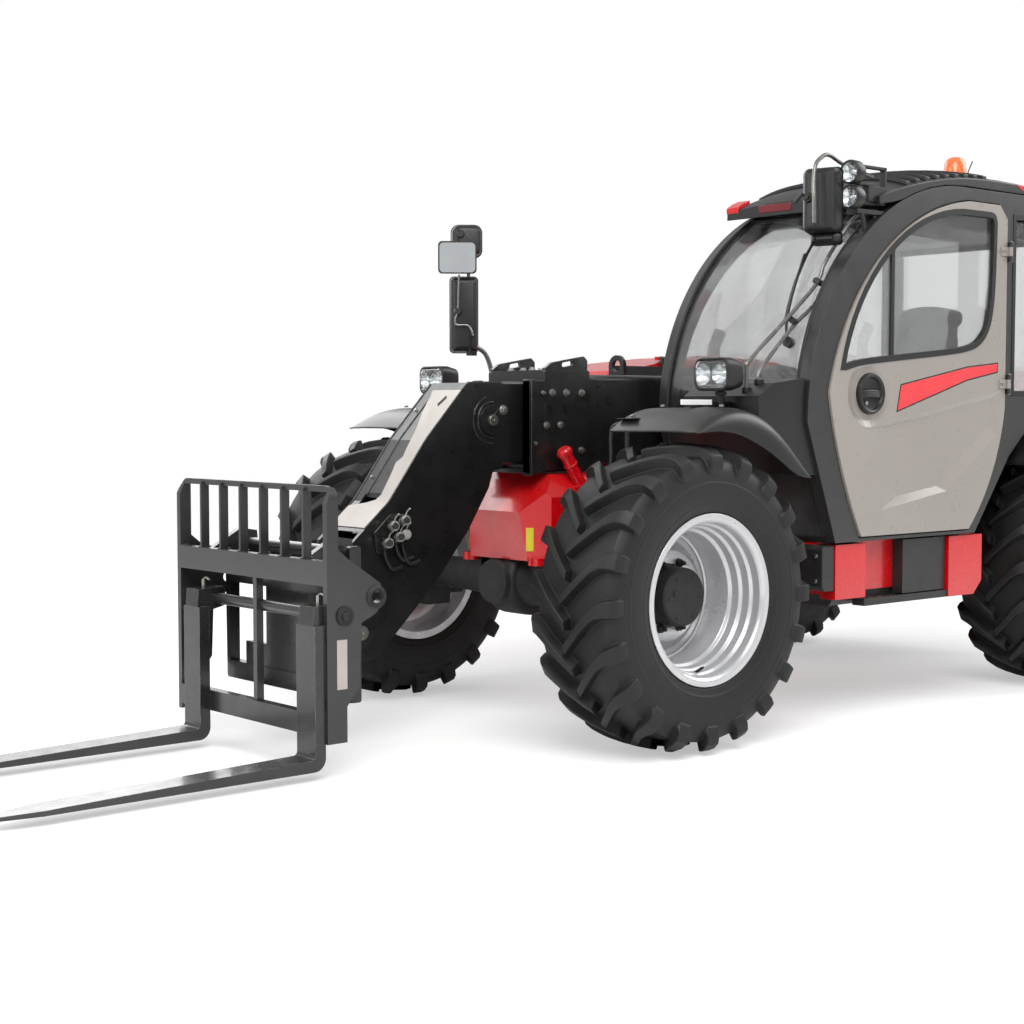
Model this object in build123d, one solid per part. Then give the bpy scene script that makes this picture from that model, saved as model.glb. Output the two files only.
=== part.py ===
from build123d import *
import os
from math import atan2, cos, degrees, hypot, radians, sin, sqrt

# Compact agricultural telehandler with a two-stage boom, pallet forks and four steered wheels.
# Millimetres. While it is drawn, x = 0 is the front axle, x runs forward, y to the machine's
# left and z up from the ground. On export every piece moves along x, so that the origin
# stands under the middle of the whole machine.

# ---------------------------------------------------------------- driving sizes
wheelbase = 2690
half_track = 915  # middle of the machine to the middle of a tyre
tyre_radius = 603
tyre_width = 450
rim_radius = 305  # bead seat of a 24 inch rim
rim_width = 396  # over both flanges
kingpin_y = 735
fork_blade = 1200  # heel to tip
sheet = 8  # folded covers
plate = 20  # chassis plates
running = 0.05  # radial play of a pin in its bore
clear = 6  # gap between pieces that move past each other

axle_z = tyre_radius
rear_axle_x = -wheelbase
rear_end_x = rear_axle_x - 690

# boom
boom_pivot_x = -2950
boom_pivot_z = 1380
boom_bottom_z = 1085
boom_height = 400
boom_width = 300
boom_wall = 10
boom_rear_x = -3060
boom_mouth_x = 30
inner_height = 350
inner_width = 244
inner_rear_x = -2600
inner_front_x = 212
inner_bottom_z = 1102
boom_lift_limit = 65  # degrees

# chassis
boom_side_gap = 35
chassis_half = boom_width / 2 + boom_side_gap + plate  # outside of the side plates
nose_half = 260
chassis_top_z = 1062
chassis_bottom_z = 480
arch_z = 700  # underside of the side plates over an axle
sill_in_y = 970  # ends of the cross beams
sill_out_y = 1050
engine_low_z = 720

# cab
cab_right_y = 214
cab_left_y = 1065
cab_floor_z = 780
cab_arc_x = -1650  # middle of the round cab front
cab_arc_z = 1280
cab_arc_r = 1035
cab_top_z = cab_arc_z + cab_arc_r
cab_rear_x = -2320
door_thick = 38

# boom head and fork carriage
tilt_pivot_x = 940
tilt_pivot_z = 460
tilt_base_x = 270
tilt_base_z = 1290
head_plate = 18
carriage_half = 530
carriage_front_x = 1376
carriage_top_z = 1060
carriage_bottom_z = 130
fork_thick = 45
fork_width = 120
fork_bottom_z = 35
fork_left_y = 458
fork_right_y = -345

front_axle_x = -(rear_end_x + carriage_front_x + fork_thick + fork_blade) / 2


# ---------------------------------------------------------------- drawing helpers
def block(x0, x1, y0, y1, z0, z1):
    middle = Pos((x0 + x1) / 2, (y0 + y1) / 2, (z0 + z1) / 2)
    return middle * Box(abs(x1 - x0), abs(y1 - y0), abs(z1 - z0))


def outline(*points, radius=0):
    flat = Polygon(*points, align=None)
    if radius:
        flat = fillet(flat.vertices(), radius)
    return flat


def side_on(flat, y0, y1):
    # a flat drawn in x and z, made solid from y0 to y1
    return extrude(Plane((0, y0, 0), (1, 0, 0), (0, -1, 0)) * flat, amount=y1 - y0, dir=(0, 1, 0))


def end_on(flat, x0, x1):
    # a flat drawn in y and z, made solid from x0 to x1
    return extrude(Plane((x0, 0, 0), (0, 1, 0), (1, 0, 0)) * flat, amount=x1 - x0, dir=(1, 0, 0))


def plan(flat, z0, z1):
    # a flat drawn in x and y, made solid from z0 to z1
    return extrude(Pos(0, 0, z0) * flat, amount=z1 - z0, dir=(0, 0, 1))


def disc_y(x, z, radius, y0, y1):
    return Pos(x, (y0 + y1) / 2, z) * Rot(90, 0, 0) * Cylinder(radius, abs(y1 - y0))


def disc_x(y, z, radius, x0, x1):
    return Pos((x0 + x1) / 2, y, z) * Rot(0, 90, 0) * Cylinder(radius, abs(x1 - x0))


def disc_z(x, y, radius, z0, z1):
    return Pos(x, y, (z0 + z1) / 2) * Cylinder(radius, abs(z1 - z0))


def tube_path(points, radius, bend=0):
    # a round bar through the points, with its corners bent to one radius
    line = FilletPolyline(*points, radius=bend) if bend else Polyline(*points)
    start = Plane(line @ 0, z_dir=line % 0)
    return sweep(start * Circle(radius), path=line)


def other_side(shape):
    return mirror(shape, Plane.XZ)


def both_sides(shape):
    return shape + other_side(shape)


parts = {}


# ---------------------------------------------------------------- wheels
tyre_bulge = 20  # how far the side walls stand out past the tread
tread_half = tyre_width / 2 - tyre_bulge
shoulder_drop = 26
rim_lip = 27  # flange height over the bead seat
hub_radius = 120
hub_out = 62  # hub cap past the tyre's middle
disc_in = 30  # wheel disc inboard of the tyre's middle
disc_thick = 14
spindle_radius = 55
spindle_length = 110
knuckle_end = half_track - disc_in - disc_thick - 26
stud_circle = 275
stud_count = 8


def tyre_section():
    # x is the way out from the middle of the tyre, y the radius
    bead = rim_width / 2 - 8
    half = tyre_width / 2
    wall_top = tyre_radius - shoulder_drop
    mid_wall = (rim_radius + wall_top) / 2
    flange = rim_radius + rim_lip + 4
    right = Line((bead, rim_radius), (bead, flange))
    right += ThreePointArc((bead, flange), (half, mid_wall), (tread_half, wall_top))
    crown = ThreePointArc((tread_half, wall_top), (0, tyre_radius), (-tread_half, wall_top))
    left = ThreePointArc((-tread_half, wall_top), (-half, mid_wall), (-bead, flange))
    left += Line((-bead, flange), (-bead, rim_radius))
    base = Line((-bead, rim_radius), (bead, rim_radius))
    return make_face(right + crown + left + base)


def spun(section):
    # a section drawn as (way out, radius), spun about the wheel's axle along y
    upright = Plane((0, 0, 0), (0, 1, 0), (1, 0, 0)) * section
    return revolve(upright, Axis.Y)


def rim_section():
    seat = rim_radius
    edge = rim_width / 2
    lip = seat + rim_lip
    wall = 9
    # (way out, radius) along the tyre side, from the outer flange to the inner one
    steps = [
        (edge, lip), (edge - 8, lip), (edge - 8, seat), (150, seat), (140, seat - 11),
        (105, seat - 11), (95, seat - 23), (60, seat - 23), (50, seat - 37),
        (-90, seat - 37), (-120, seat), (8 - edge, seat), (8 - edge, lip), (-edge, lip),
    ]
    back = [
        (-edge, seat - wall), (-116, seat - wall), (-86, seat - 37 - wall),
        (46, seat - 37 - wall), (56, seat - 23 - wall), (91, seat - 23 - wall),
        (101, seat - 11 - wall), (136, seat - 11 - wall), (146, seat - wall), (edge, seat - wall),
    ]
    return Polygon(*steps, *back, align=None)


def disc_section():
    well = rim_radius - 37 - 9
    face = -disc_in
    back = face - disc_thick
    front = [(face, 0), (face, 178), (face - 42, 214), (face - 48, well)]
    rear = [(back - 48, well), (back - 42, 206), (back, 170), (back, 0)]
    return Polygon(*front, *rear, align=None)


def hub_section():
    face = -disc_in
    cap = hub_out
    back = face - disc_thick - 20
    return Polygon(
        (back, 0), (back, 96), (face - disc_thick, 96), (face, hub_radius + 8), (face + 30, hub_radius),
        (cap - 10, hub_radius - 6), (cap, hub_radius - 18), (cap, 0), align=None,
    )


def wheel_metal():
    body = spun(rim_section()) + spun(disc_section()) + spun(hub_section())
    bore_end = knuckle_end - half_track + spindle_length + clear
    body -= disc_y(0, 0, spindle_radius + running, -half_track, bore_end)
    for k in range(stud_count):
        turn = Rot(0, 360 / stud_count * k, 0)
        body += turn * disc_y(stud_circle / 2, 0, 15, -disc_in, 24 - disc_in)
    return body


wheel_places = [  # name, axle x, side
    ("front_left", 0, 1),
    ("front_right", 0, -1),
    ("rear_left", rear_axle_x, 1),
    ("rear_right", rear_axle_x, -1),
]
tyre_solid = spun(tyre_section())
metal_solid = wheel_metal()
for name, axle_x, side in wheel_places:
    seat = Pos(axle_x, side * half_track, axle_z)
    if side < 0:
        seat = seat * Rot(0, 0, 180)
    parts[name + "_tyre"] = seat * tyre_solid
    parts[name + "_wheel"] = seat * metal_solid


# ---------------------------------------------------------------- steered knuckles and axles
knuckle_r = 105
pin_r = 22
fork_gap = 128  # half the height between an axle fork's arms
fork_arm = 28
steer_arm_x = 200
steer_arm_y = 700
steer_arm_top = axle_z - 104
steer_rod_r = 18
steer_eye_r = 30
steer_rod_z = steer_arm_top + clear + 16


def knuckle():
    # left knuckle of an axle at x = 0, its steering arm pointing back
    ball = Pos(0, kingpin_y, axle_z) * Sphere(knuckle_r)
    neck = disc_y(0, axle_z, knuckle_r - 4, kingpin_y, knuckle_end)
    post = disc_z(0, kingpin_y, 44, axle_z - fork_gap + clear, axle_z + fork_gap - clear)
    spindle = disc_y(0, axle_z, spindle_radius, knuckle_end, knuckle_end + spindle_length)
    arm_flat = outline((0, kingpin_y - 42), (-steer_arm_x, steer_arm_y - steer_eye_r),
                       (-steer_arm_x, steer_arm_y + steer_eye_r), (0, kingpin_y + 42))
    arm = plan(arm_flat, steer_arm_top - 18, steer_arm_top)
    arm += disc_z(-steer_arm_x, steer_arm_y, steer_eye_r, steer_arm_top - 18, steer_arm_top)
    body = ball + neck + post + spindle + arm
    for z0 in (axle_z - fork_gap, axle_z + fork_gap - 60):
        body -= disc_z(0, kingpin_y, pin_r + running, z0, z0 + 60)
    return body


def axle():
    # driven beam at x = 0 with its pinion pointing back
    housing = Pos(0, 0, axle_z) * Rot(90, 0, 0) * Cylinder(150, 190)
    housing = fillet(housing.edges(), 30)
    cover = disc_x(0, axle_z, 92, 140, 168)
    nose = disc_x(0, axle_z, 75, -230, 0) + disc_x(0, axle_z, 45, -330, -230)
    trumpet = Polygon((80, 0), (80, 118), (170, 82), (560, 66), (590, 92), (615, 92), (615, 0), align=None)
    arm_tube = Pos(0, 0, axle_z) * spun(trumpet)
    spine = block(-62, 62, 575, 612, axle_z - fork_gap - fork_arm, axle_z + fork_gap + fork_arm)
    arm_flat = outline((-62, 590), (62, 590), (62, 640), (46, kingpin_y), (-46, kingpin_y), (-62, 640))
    for z0 in (axle_z - fork_gap - fork_arm, axle_z + fork_gap):
        spine += plan(arm_flat, z0, z0 + fork_arm)
        spine += disc_z(0, kingpin_y, 46, z0, z0 + fork_arm)
    spine += disc_z(0, kingpin_y, pin_r, axle_z - fork_gap, axle_z - fork_gap + 54)
    spine += disc_z(0, kingpin_y, pin_r, axle_z + fork_gap - 54, axle_z + fork_gap)
    pad = block(-90, 90, chassis_half - 40, chassis_half + 30, axle_z, arch_z)
    body = housing + cover + nose + both_sides(arm_tube) + both_sides(spine) + both_sides(pad)
    barrel = disc_y(-steer_arm_x, steer_rod_z, 36, -250, 250)
    stays = block(-steer_arm_x, 0, 170, 200, steer_rod_z - 30, steer_rod_z + 45)
    body += barrel + both_sides(stays)
    return body - disc_y(-steer_arm_x, steer_rod_z, steer_rod_r + running, -260, 260)


def steering_rod():
    rod = disc_y(-steer_arm_x, steer_rod_z, steer_rod_r, -steer_arm_y, steer_arm_y)
    eye = disc_z(-steer_arm_x, steer_arm_y, steer_eye_r, steer_rod_z - 16, steer_rod_z + 20)
    return rod + both_sides(eye)


def to_rear(shape):
    # the rear axle is the front one turned end for end
    return Pos(rear_axle_x, 0, 0) * Rot(0, 0, 180) * shape


left_knuckle = knuckle()
right_knuckle = other_side(left_knuckle)
parts["front_left_knuckle"] = left_knuckle
parts["front_right_knuckle"] = right_knuckle
parts["rear_left_knuckle"] = to_rear(right_knuckle)
parts["rear_right_knuckle"] = to_rear(left_knuckle)
parts["front_axle"] = axle()
parts["rear_axle"] = to_rear(parts["front_axle"])
parts["front_steering_rod"] = steering_rod()
parts["rear_steering_rod"] = to_rear(parts["front_steering_rod"])


# ---------------------------------------------------------------- cylinders
def cylinder_pair(base, eye, bore_r, rod_r, base_eye_r, rod_eye_r, base_half, eye_half, draw_in, push_out):
    # barrel and rod of a ram from its base pin to its rod eye, both given as (x, z);
    # from there the rod can draw in and push out by the last two sizes
    length = hypot(eye[0] - base[0], eye[1] - base[1])
    angle = degrees(atan2(eye[1] - base[1], eye[0] - base[0]))
    wall = bore_r * 0.22
    gland = 50
    piston = 50
    first = base_eye_r + 20  # inner end of the bore
    start = first + draw_in + 2  # rear face of the piston
    last = start + piston + push_out + 2  # inner end of the gland
    barrel = disc_x(0, 0, bore_r + wall, base_eye_r - 8, last + gland)
    barrel += disc_x(0, 0, bore_r + wall + 6, last - 10, last + gland)
    barrel += disc_y(0, 0, base_eye_r, -base_half, base_half)
    barrel -= disc_x(0, 0, bore_r, first, last)
    barrel -= disc_x(0, 0, rod_r + running, last - 1, last + gland + 1)
    rod = disc_x(0, 0, rod_r, start, length)
    rod += disc_x(0, 0, bore_r - running, start, start + piston)
    rod += disc_y(length, 0, rod_eye_r, -eye_half, eye_half)
    place = Pos(base[0], 0, base[1]) * Rot(0, -angle, 0)
    return place * barrel, place * rod


lift_base = (-2420, 800)
lift_eye = (-1300, 955)
lift_pin_r = 28
lift_eye_half = 58
lift_ear_in = 64  # inner faces of the ears under the boom
lift_turned = radians(boom_lift_limit)
eye_dx = lift_eye[0] - boom_pivot_x
eye_dz = lift_eye[1] - boom_pivot_z
lift_eye_up = (
    boom_pivot_x + eye_dx * cos(lift_turned) - eye_dz * sin(lift_turned),
    boom_pivot_z + eye_dx * sin(lift_turned) + eye_dz * cos(lift_turned),
)
lift_closed = hypot(lift_eye[0] - lift_base[0], lift_eye[1] - lift_base[1])
lift_open = hypot(lift_eye_up[0] - lift_base[0], lift_eye_up[1] - lift_base[1])
lift_stroke = lift_open - lift_closed

tilt_arm = 280
tilt_arm_angle = 85
tilt_back_limit = 15
tilt_down_limit = 110
tilt_eye = (
    tilt_pivot_x + tilt_arm * cos(radians(tilt_arm_angle)),
    tilt_pivot_z + tilt_arm * sin(radians(tilt_arm_angle)),
)
down_angle = radians(tilt_arm_angle - tilt_down_limit)
back_angle = radians(tilt_arm_angle + tilt_back_limit)


def tilt_length(angle):
    x = tilt_pivot_x + tilt_arm * cos(angle)
    z = tilt_pivot_z + tilt_arm * sin(angle)
    return hypot(x - tilt_base_x, z - tilt_base_z)


tilt_closed = tilt_length(radians(tilt_arm_angle))
tilt_stroke_out = tilt_length(down_angle) - tilt_closed
tilt_stroke_in = tilt_closed - tilt_length(back_angle)
ram_spare = 12  # travel left at the ends
tilt_pin_r = 25

lift_barrel, lift_rod = cylinder_pair(
    lift_base, lift_eye, 44, 30, 56, 46, 60, lift_eye_half, 0, lift_stroke + ram_spare)
parts["lift_barrel"] = lift_barrel - disc_y(lift_base[0], lift_base[1], lift_pin_r + running, -100, 100)
parts["lift_rod"] = lift_rod


# ---------------------------------------------------------------- chassis
pivot_pin_r = 35
pillar_top_z = 1545


def chassis_side():
    flat = Polygon(
        (0, chassis_top_z), (-2360, chassis_top_z), (-2660, pillar_top_z), (-3090, pillar_top_z),
        (-3210, 1300), (rear_end_x + 60, 1050), (rear_end_x + 60, 560), (rear_axle_x - 330, 560),
        (rear_axle_x - 210, arch_z), (rear_axle_x + 210, arch_z), (rear_axle_x + 380, chassis_bottom_z),
        (-430, chassis_bottom_z), (-260, arch_z), (0, arch_z), align=None,
    )
    side = side_on(flat, chassis_half - plate, chassis_half)
    for x in (-800, -1980):
        side -= disc_y(x, 840, 70, chassis_half - plate - 1, chassis_half + 1)
    # boss that carries one end of the boom pin, and the one for the lift ram
    side += disc_y(boom_pivot_x, boom_pivot_z, 85, boom_width / 2 + 8 + clear, chassis_half + 14)
    side += disc_y(lift_base[0], lift_base[1], 60, lift_eye_half + 14, chassis_half + 10)
    return side


def chassis_frame():
    # both side plates, tied by the pins of the boom and of the lift ram
    inner = chassis_half - plate
    body = both_sides(chassis_side())
    body += disc_y(lift_base[0], lift_base[1], lift_pin_r, -inner, inner)
    body += disc_y(boom_pivot_x, boom_pivot_z, pivot_pin_r, -inner, inner)
    return body


nose_front_x = 155
nose_wall = 14
nose_bevel = 95  # how far the front corners and the upper edges are cut back


def nose_form(inset):
    # a box with a sloping lid, its upper edges and its front corners cut back
    i = inset
    half = nose_half - i
    side = outline((130 - i, arch_z + i), (nose_front_x - i, 905), (0, chassis_top_z - i),
                   (-260, chassis_top_z - i), (-260, arch_z + i))
    top = outline((-300, -half), (nose_front_x - nose_bevel, -half), (nose_front_x, nose_bevel - half),
                  (nose_front_x, half - nose_bevel), (nose_front_x - nose_bevel, half), (-300, half))
    end = outline((-half, 600), (-half, chassis_top_z - nose_bevel), (60 - half, chassis_top_z + 1),
                  (half - 60, chassis_top_z + 1), (half, chassis_top_z - nose_bevel), (half, 600))
    return side_on(side, -half, half) & plan(top, 600, 1100) & end_on(end, -300, nose_front_x)


def chassis_nose():
    # hollow box over the front axle, open at its rear
    room = nose_form(nose_wall) + Pos(-10, 0, 0) * nose_form(nose_wall)
    body = nose_form(0) - room
    for y in (-nose_half + 45, nose_half - 45):
        body += disc_z(100, y, 40, arch_z - 18, arch_z + nose_wall)
    return body - parts["chassis_frame"] - parts["front_axle"]


def chassis_floors():
    # cross plates between the side plates, stepped up over the axles
    inner = chassis_half - plate
    step = 16
    low_z = chassis_bottom_z
    over = arch_z + nose_wall
    front_step = outline((-260, over), (-260, arch_z), (-430, low_z), (-430 - step, low_z),
                         (-260 - step, over))
    rear_step_x = rear_axle_x + 210
    rear_step = outline((rear_step_x, over), (rear_step_x, arch_z), (rear_step_x + 170, low_z),
                        (rear_step_x + 170 + step, low_z), (rear_step_x + step, over))
    body = side_on(front_step, -inner, inner) + side_on(rear_step, -inner, inner)
    body += block(rear_axle_x + 380, -430, -inner, inner, low_z, low_z + nose_wall)
    body += block(-1000, -260, -inner, inner, chassis_top_z - nose_wall, chassis_top_z)
    body += block(rear_axle_x - 210, rear_axle_x + 210, -inner, inner, arch_z, over)
    body += block(rear_end_x + 60, rear_end_x + 80, -inner, inner, 560, 1050)
    body += block(-3075, -3055, -inner, inner, arch_z, 1040)
    # room for the axle housings and the shafts
    for x in (0, rear_axle_x):
        body -= disc_y(x, axle_z, 162, -145, 145)
    body -= disc_x(0, axle_z, 62, rear_axle_x - 100, -200)
    body -= disc_x(0, axle_z, 82, rear_axle_x, rear_axle_x + 236)
    return body


beam_places = (-850, -1850)
beam_low_z = 560
beam_top_z = 680


def cross_beams():
    # hollow beams out to the cab on the left and the engine on the right, with the posts that carry both
    body = block(-1895, -830, -830, -790, beam_top_z, engine_low_z)
    body += block(-1895, -830, -470, -430, beam_top_z, engine_low_z)
    for x in beam_places:
        beam = block(x - 45, x + 45, chassis_half, sill_in_y, beam_low_z, beam_top_z)
        beam -= block(x - 37, x + 37, chassis_half - 1, sill_in_y + 1, beam_low_z + 8, beam_top_z - 8)
        beam += block(x - 45, x + 45, chassis_half + 20, 300, beam_top_z, cab_floor_z)
        beam += block(x - 45, x + 45, 880, 960, beam_top_z, cab_floor_z)
        body += both_sides(beam)
    return body


parts["chassis_frame"] = chassis_frame()
parts["chassis_nose"] = chassis_nose()
parts["chassis_floors"] = chassis_floors()
parts["cross_beams"] = cross_beams()

counterweight_half = 350


jaw_half = 80
jaw_thick = 30
jaw_low_z = 600
jaw_gap = 60
jaw_bore_r = 16.5
jaw_bore_x = rear_end_x + 29


def counterweight():
    front_x = rear_end_x + 60
    flat = outline((rear_end_x, 470), (rear_end_x, 1000), (front_x, 1060), (front_x, 470))
    body = side_on(flat, -counterweight_half, counterweight_half)
    body = fillet(body.edges().filter_by(Axis.Z).group_by(Axis.X)[0], 25)
    # slot for the towing pin, and the two lips of the jaw across it
    body -= block(rear_end_x - 1, front_x + 1, -jaw_half, jaw_half, jaw_low_z, 1070)
    for z0 in (jaw_low_z, jaw_low_z + jaw_thick + jaw_gap):
        body += block(rear_end_x, front_x, -jaw_half, jaw_half, z0, z0 + jaw_thick)
    return body - disc_z(jaw_bore_x, 0, jaw_bore_r, jaw_low_z - 1, jaw_low_z + 2 * jaw_thick + jaw_gap + 1)


parts["counterweight"] = counterweight()


def shafts():
    gearbox = block(-1500, -1180, -150, 150, chassis_bottom_z + 14, 720)
    gearbox = fillet(gearbox.edges().filter_by(Axis.X), 40)
    front = disc_x(0, axle_z, 30, -1180, -330) + disc_x(0, axle_z, 52, -360, -330)
    rear = disc_x(0, axle_z, 30, rear_axle_x + 330, -1500)
    return gearbox + front + rear


parts["gearbox_and_shafts"] = shafts()


# ---------------------------------------------------------------- boom
def box_tube(x0, x1, width, z0, z1, wall, corner):
    middle = Pos(0, (z0 + z1) / 2)
    outer = middle * RectangleRounded(width, z1 - z0, corner)
    inner = middle * RectangleRounded(width - 2 * wall, z1 - z0 - 2 * wall, corner - wall / 2)
    return end_on(outer - inner, x0, x1)


boom_top_z = boom_bottom_z + boom_height
pad_gap = 1
inner_top_z = inner_bottom_z + inner_height


# lifting ring on top of the boom, its eye looking forward
ring_x = -570
ring_half = 9
ring_r = 48
ring_rise = 45
ring_bore_r = 26


def outer_boom():
    body = box_tube(boom_rear_x, boom_mouth_x - 40, boom_width, boom_bottom_z, boom_top_z, boom_wall, 22)
    body += block(boom_rear_x, boom_rear_x + 12, -140, 140, boom_bottom_z + 6, boom_top_z - 6)
    # pivot tube through the boom
    half = boom_width / 2 + 8
    body += disc_y(boom_pivot_x, boom_pivot_z, 70, -half, half)
    body -= disc_y(boom_pivot_x, boom_pivot_z, pivot_pin_r + running, -half - 1, half + 1)
    # ears under the boom for the lift ram
    ear_flat = outline((lift_eye[0] - 200, boom_bottom_z + 3), (lift_eye[0] + 160, boom_bottom_z + 3),
                       (lift_eye[0] + 52, lift_eye[1] - 30), (lift_eye[0] - 52, lift_eye[1] - 30))
    ear = side_on(ear_flat, lift_ear_in, lift_ear_in + 24)
    ear += disc_y(lift_eye[0], lift_eye[1], 60, lift_ear_in, lift_ear_in + 24)
    ear += disc_y(lift_eye[0], lift_eye[1], lift_pin_r, lift_ear_in, lift_ear_in + 40)
    body += both_sides(ear)
    # lifting ring on top
    eye_z = boom_top_z + ring_rise
    ring = disc_x(0, eye_z, ring_r, ring_x - ring_half, ring_x + ring_half)
    ring += block(ring_x - ring_half, ring_x + ring_half, -ring_r, ring_r, boom_top_z - 3, eye_z)
    body += ring - disc_x(0, eye_z, ring_bore_r, ring_x - ring_half - 1, ring_x + ring_half + 1)
    return body


parts["outer_boom"] = outer_boom()

collar_half = 185
collar_rear_x = -225


def boom_collar():
    inside = Pos(0, (boom_bottom_z + boom_top_z) / 2) * RectangleRounded(boom_width, boom_height, 22)
    ring_outer = RectangleRounded(boom_width + 36, boom_height + 30, 14)
    ring_outer = Pos(0, (boom_bottom_z + boom_top_z) / 2) * ring_outer
    body = end_on(ring_outer - inside, collar_rear_x, boom_mouth_x - 40)
    # front frame that holds the wear pads
    window = Pos(0, (inner_bottom_z + inner_top_z) / 2) * RectangleRounded(
        inner_width + 2 * pad_gap, inner_height + 2 * pad_gap, 16 + pad_gap)
    body += end_on(ring_outer - window, boom_mouth_x - 40, boom_mouth_x)
    # bolted side plates and top ears
    side = outline((collar_rear_x, boom_bottom_z - 8), (boom_mouth_x, boom_bottom_z - 8),
                   (boom_mouth_x, boom_top_z + 15), (collar_rear_x, boom_top_z + 15), radius=12)
    cheek = side_on(side, boom_width / 2 + 18, collar_half)
    ear_flat = outline((collar_rear_x + 8, boom_top_z - 40), (boom_mouth_x - 5, boom_top_z - 40),
                       (boom_mouth_x - 5, boom_top_z + 22), (boom_mouth_x - 40, boom_top_z + 46),
                       (collar_rear_x + 28, boom_top_z + 76), (collar_rear_x + 8, boom_top_z + 58), radius=8)
    slot = Pos((collar_rear_x + boom_mouth_x) / 2 - 5, boom_top_z + 42) * Rot(0, 0, -10) * SlotOverall(66, 20)
    cheek += side_on(ear_flat - slot, boom_width / 2 + 12, boom_width / 2 + 30)
    body += both_sides(cheek)
    return body


parts["boom_collar"] = boom_collar()


def inner_boom():
    body = box_tube(inner_rear_x, inner_front_x, inner_width, inner_bottom_z, inner_top_z, boom_wall, 16)
    # wear pads at the rear end, inside the outer boom
    gap_side = boom_width / 2 - boom_wall - inner_width / 2 - pad_gap
    y0 = inner_width / 2
    pad = block(inner_rear_x, inner_rear_x + 120, y0, y0 + gap_side, 1200, 1340)
    body += both_sides(pad)
    body += block(inner_rear_x, inner_rear_x + 120, -70, 70, inner_top_z, boom_top_z - boom_wall - pad_gap)
    body += block(inner_rear_x, inner_rear_x + 120, -70, 70, boom_bottom_z + boom_wall + pad_gap,
                  inner_bottom_z)
    return body


parts["inner_boom"] = inner_boom()


# side plates of the head, flush with the sides of the inner boom
head_in_y = inner_width / 2 - head_plate
head_top_z = inner_top_z - 8
head_front = [(1052, 520), (1046, 640), (992, 760), (975, 815), (800, 965), (615, 1210), (395, head_top_z)]
head_cover = 12  # thickness of the plate between the side plates


def head_flat():
    # lower edge from the boom to the tip, round the tip, and back up the front edge
    low = [(inner_front_x, inner_bottom_z - 14), (262, inner_bottom_z - 22), (285, 1010), (395, 838),
           (560, 640), (840, 372)]
    tip = ThreePointArc((840, 372), (1030, 395), (1052, 520))
    return make_face(Polyline(*low) + tip + Polyline(*head_front, (inner_front_x, head_top_z), low[0]))


def boom_head():
    y0 = head_in_y
    half = inner_width / 2 + 10
    body = both_sides(side_on(head_flat(), y0, inner_width / 2))
    # back wall along the lower edge
    back = outline((inner_front_x, inner_bottom_z + 12), (inner_front_x, inner_bottom_z), (262, 1090),
                   (285, 1010), (395, 838), (560, 640), (760, 448), (772, 460), (572, 654), (408, 848),
                   (300, 1016), (276, 1102), (240, inner_bottom_z + 12))
    body += side_on(back, -y0, y0)
    # front cover, set down between the side plates
    path = [(inner_front_x, head_top_z), (395, head_top_z), (615, 1210), (800, 965), (930, 854)]
    under = [(920, 846), (790, 958), (605, 1203), (389, head_top_z - head_cover),
             (inner_front_x, head_top_z - head_cover)]
    body += side_on(Polygon(*path, *under, align=None), -y0, y0)
    # slot near the cover's foot, where the gland of the tilt ram comes up
    body -= block(774, 866, -66, 66, 880, 1000)
    # pin of the fork carrier, and pin of the tilt ram, both held by the side plates
    body += disc_y(tilt_pivot_x, tilt_pivot_z, 30, -half, half)
    body += both_sides(disc_y(tilt_pivot_x, tilt_pivot_z, 62, y0, half))
    body += disc_y(tilt_base_x, tilt_base_z, tilt_pin_r, -half + 4, half - 4)
    body += both_sides(disc_y(tilt_base_x, tilt_base_z, 62, inner_width / 2, half - 2))
    return body


tilt_barrel, tilt_rod = cylinder_pair(
    (tilt_base_x, tilt_base_z), tilt_eye, 42, 26, 50, 40, 55, 40, tilt_stroke_in + ram_spare,
    tilt_stroke_out + ram_spare)
parts["boom_head"] = boom_head()
parts["tilt_barrel"] = tilt_barrel - disc_y(tilt_base_x, tilt_base_z, tilt_pin_r + running, -80, 80)
parts["tilt_rod"] = tilt_rod


# ---------------------------------------------------------------- tool carrier, carriage and forks
carrier_face_x = 1215
hook_bar_x = carrier_face_x - 30
hook_bar_z = 800
hook_bar_r = 26


def tool_carrier():
    y0 = 48
    ear_flat = outline((tilt_pivot_x - 62, tilt_pivot_z - 20), (tilt_eye[0] - 46, tilt_eye[1]),
                       (tilt_eye[0] - 20, tilt_eye[1] + 44), (tilt_eye[0] + 40, tilt_eye[1] + 44),
                       (carrier_face_x - 40, 700), (carrier_face_x - 40, 320),
                       (tilt_pivot_x + 30, tilt_pivot_z - 62))
    ear = side_on(ear_flat, y0, y0 + 24)
    ear += disc_y(tilt_pivot_x, tilt_pivot_z, 64, y0, head_in_y - 2)
    ear += disc_y(tilt_eye[0], tilt_eye[1], tilt_pin_r, y0, y0 + 34)
    body = both_sides(ear)
    body += block(carrier_face_x - 40, carrier_face_x - 15, -300, 300, 300, 800)
    for y in (-225, 225):
        body -= Pos(carrier_face_x - 28, y, 540) * Box(40, 150, 260)
    body += block(carrier_face_x - 55, carrier_face_x - 10, -430, 430, 640, 720)
    body += block(carrier_face_x - 55, carrier_face_x - 10, -430, 430, 250, 320)
    body += disc_y(hook_bar_x, hook_bar_z, hook_bar_r, -430, 430)
    hook_side = outline((carrier_face_x - 55, 250), (carrier_face_x - 10, 250), (carrier_face_x - 4, 830),
                        (carrier_face_x - 56, 830), radius=10)
    body += both_sides(side_on(hook_side, 412, 436))
    body += block(carrier_face_x - 40, carrier_face_x - 15, -60, 60, 700, 812)
    return body - disc_y(tilt_pivot_x, tilt_pivot_z, 30 + running, -120, 120)


parts["tool_carrier"] = tool_carrier()

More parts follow.
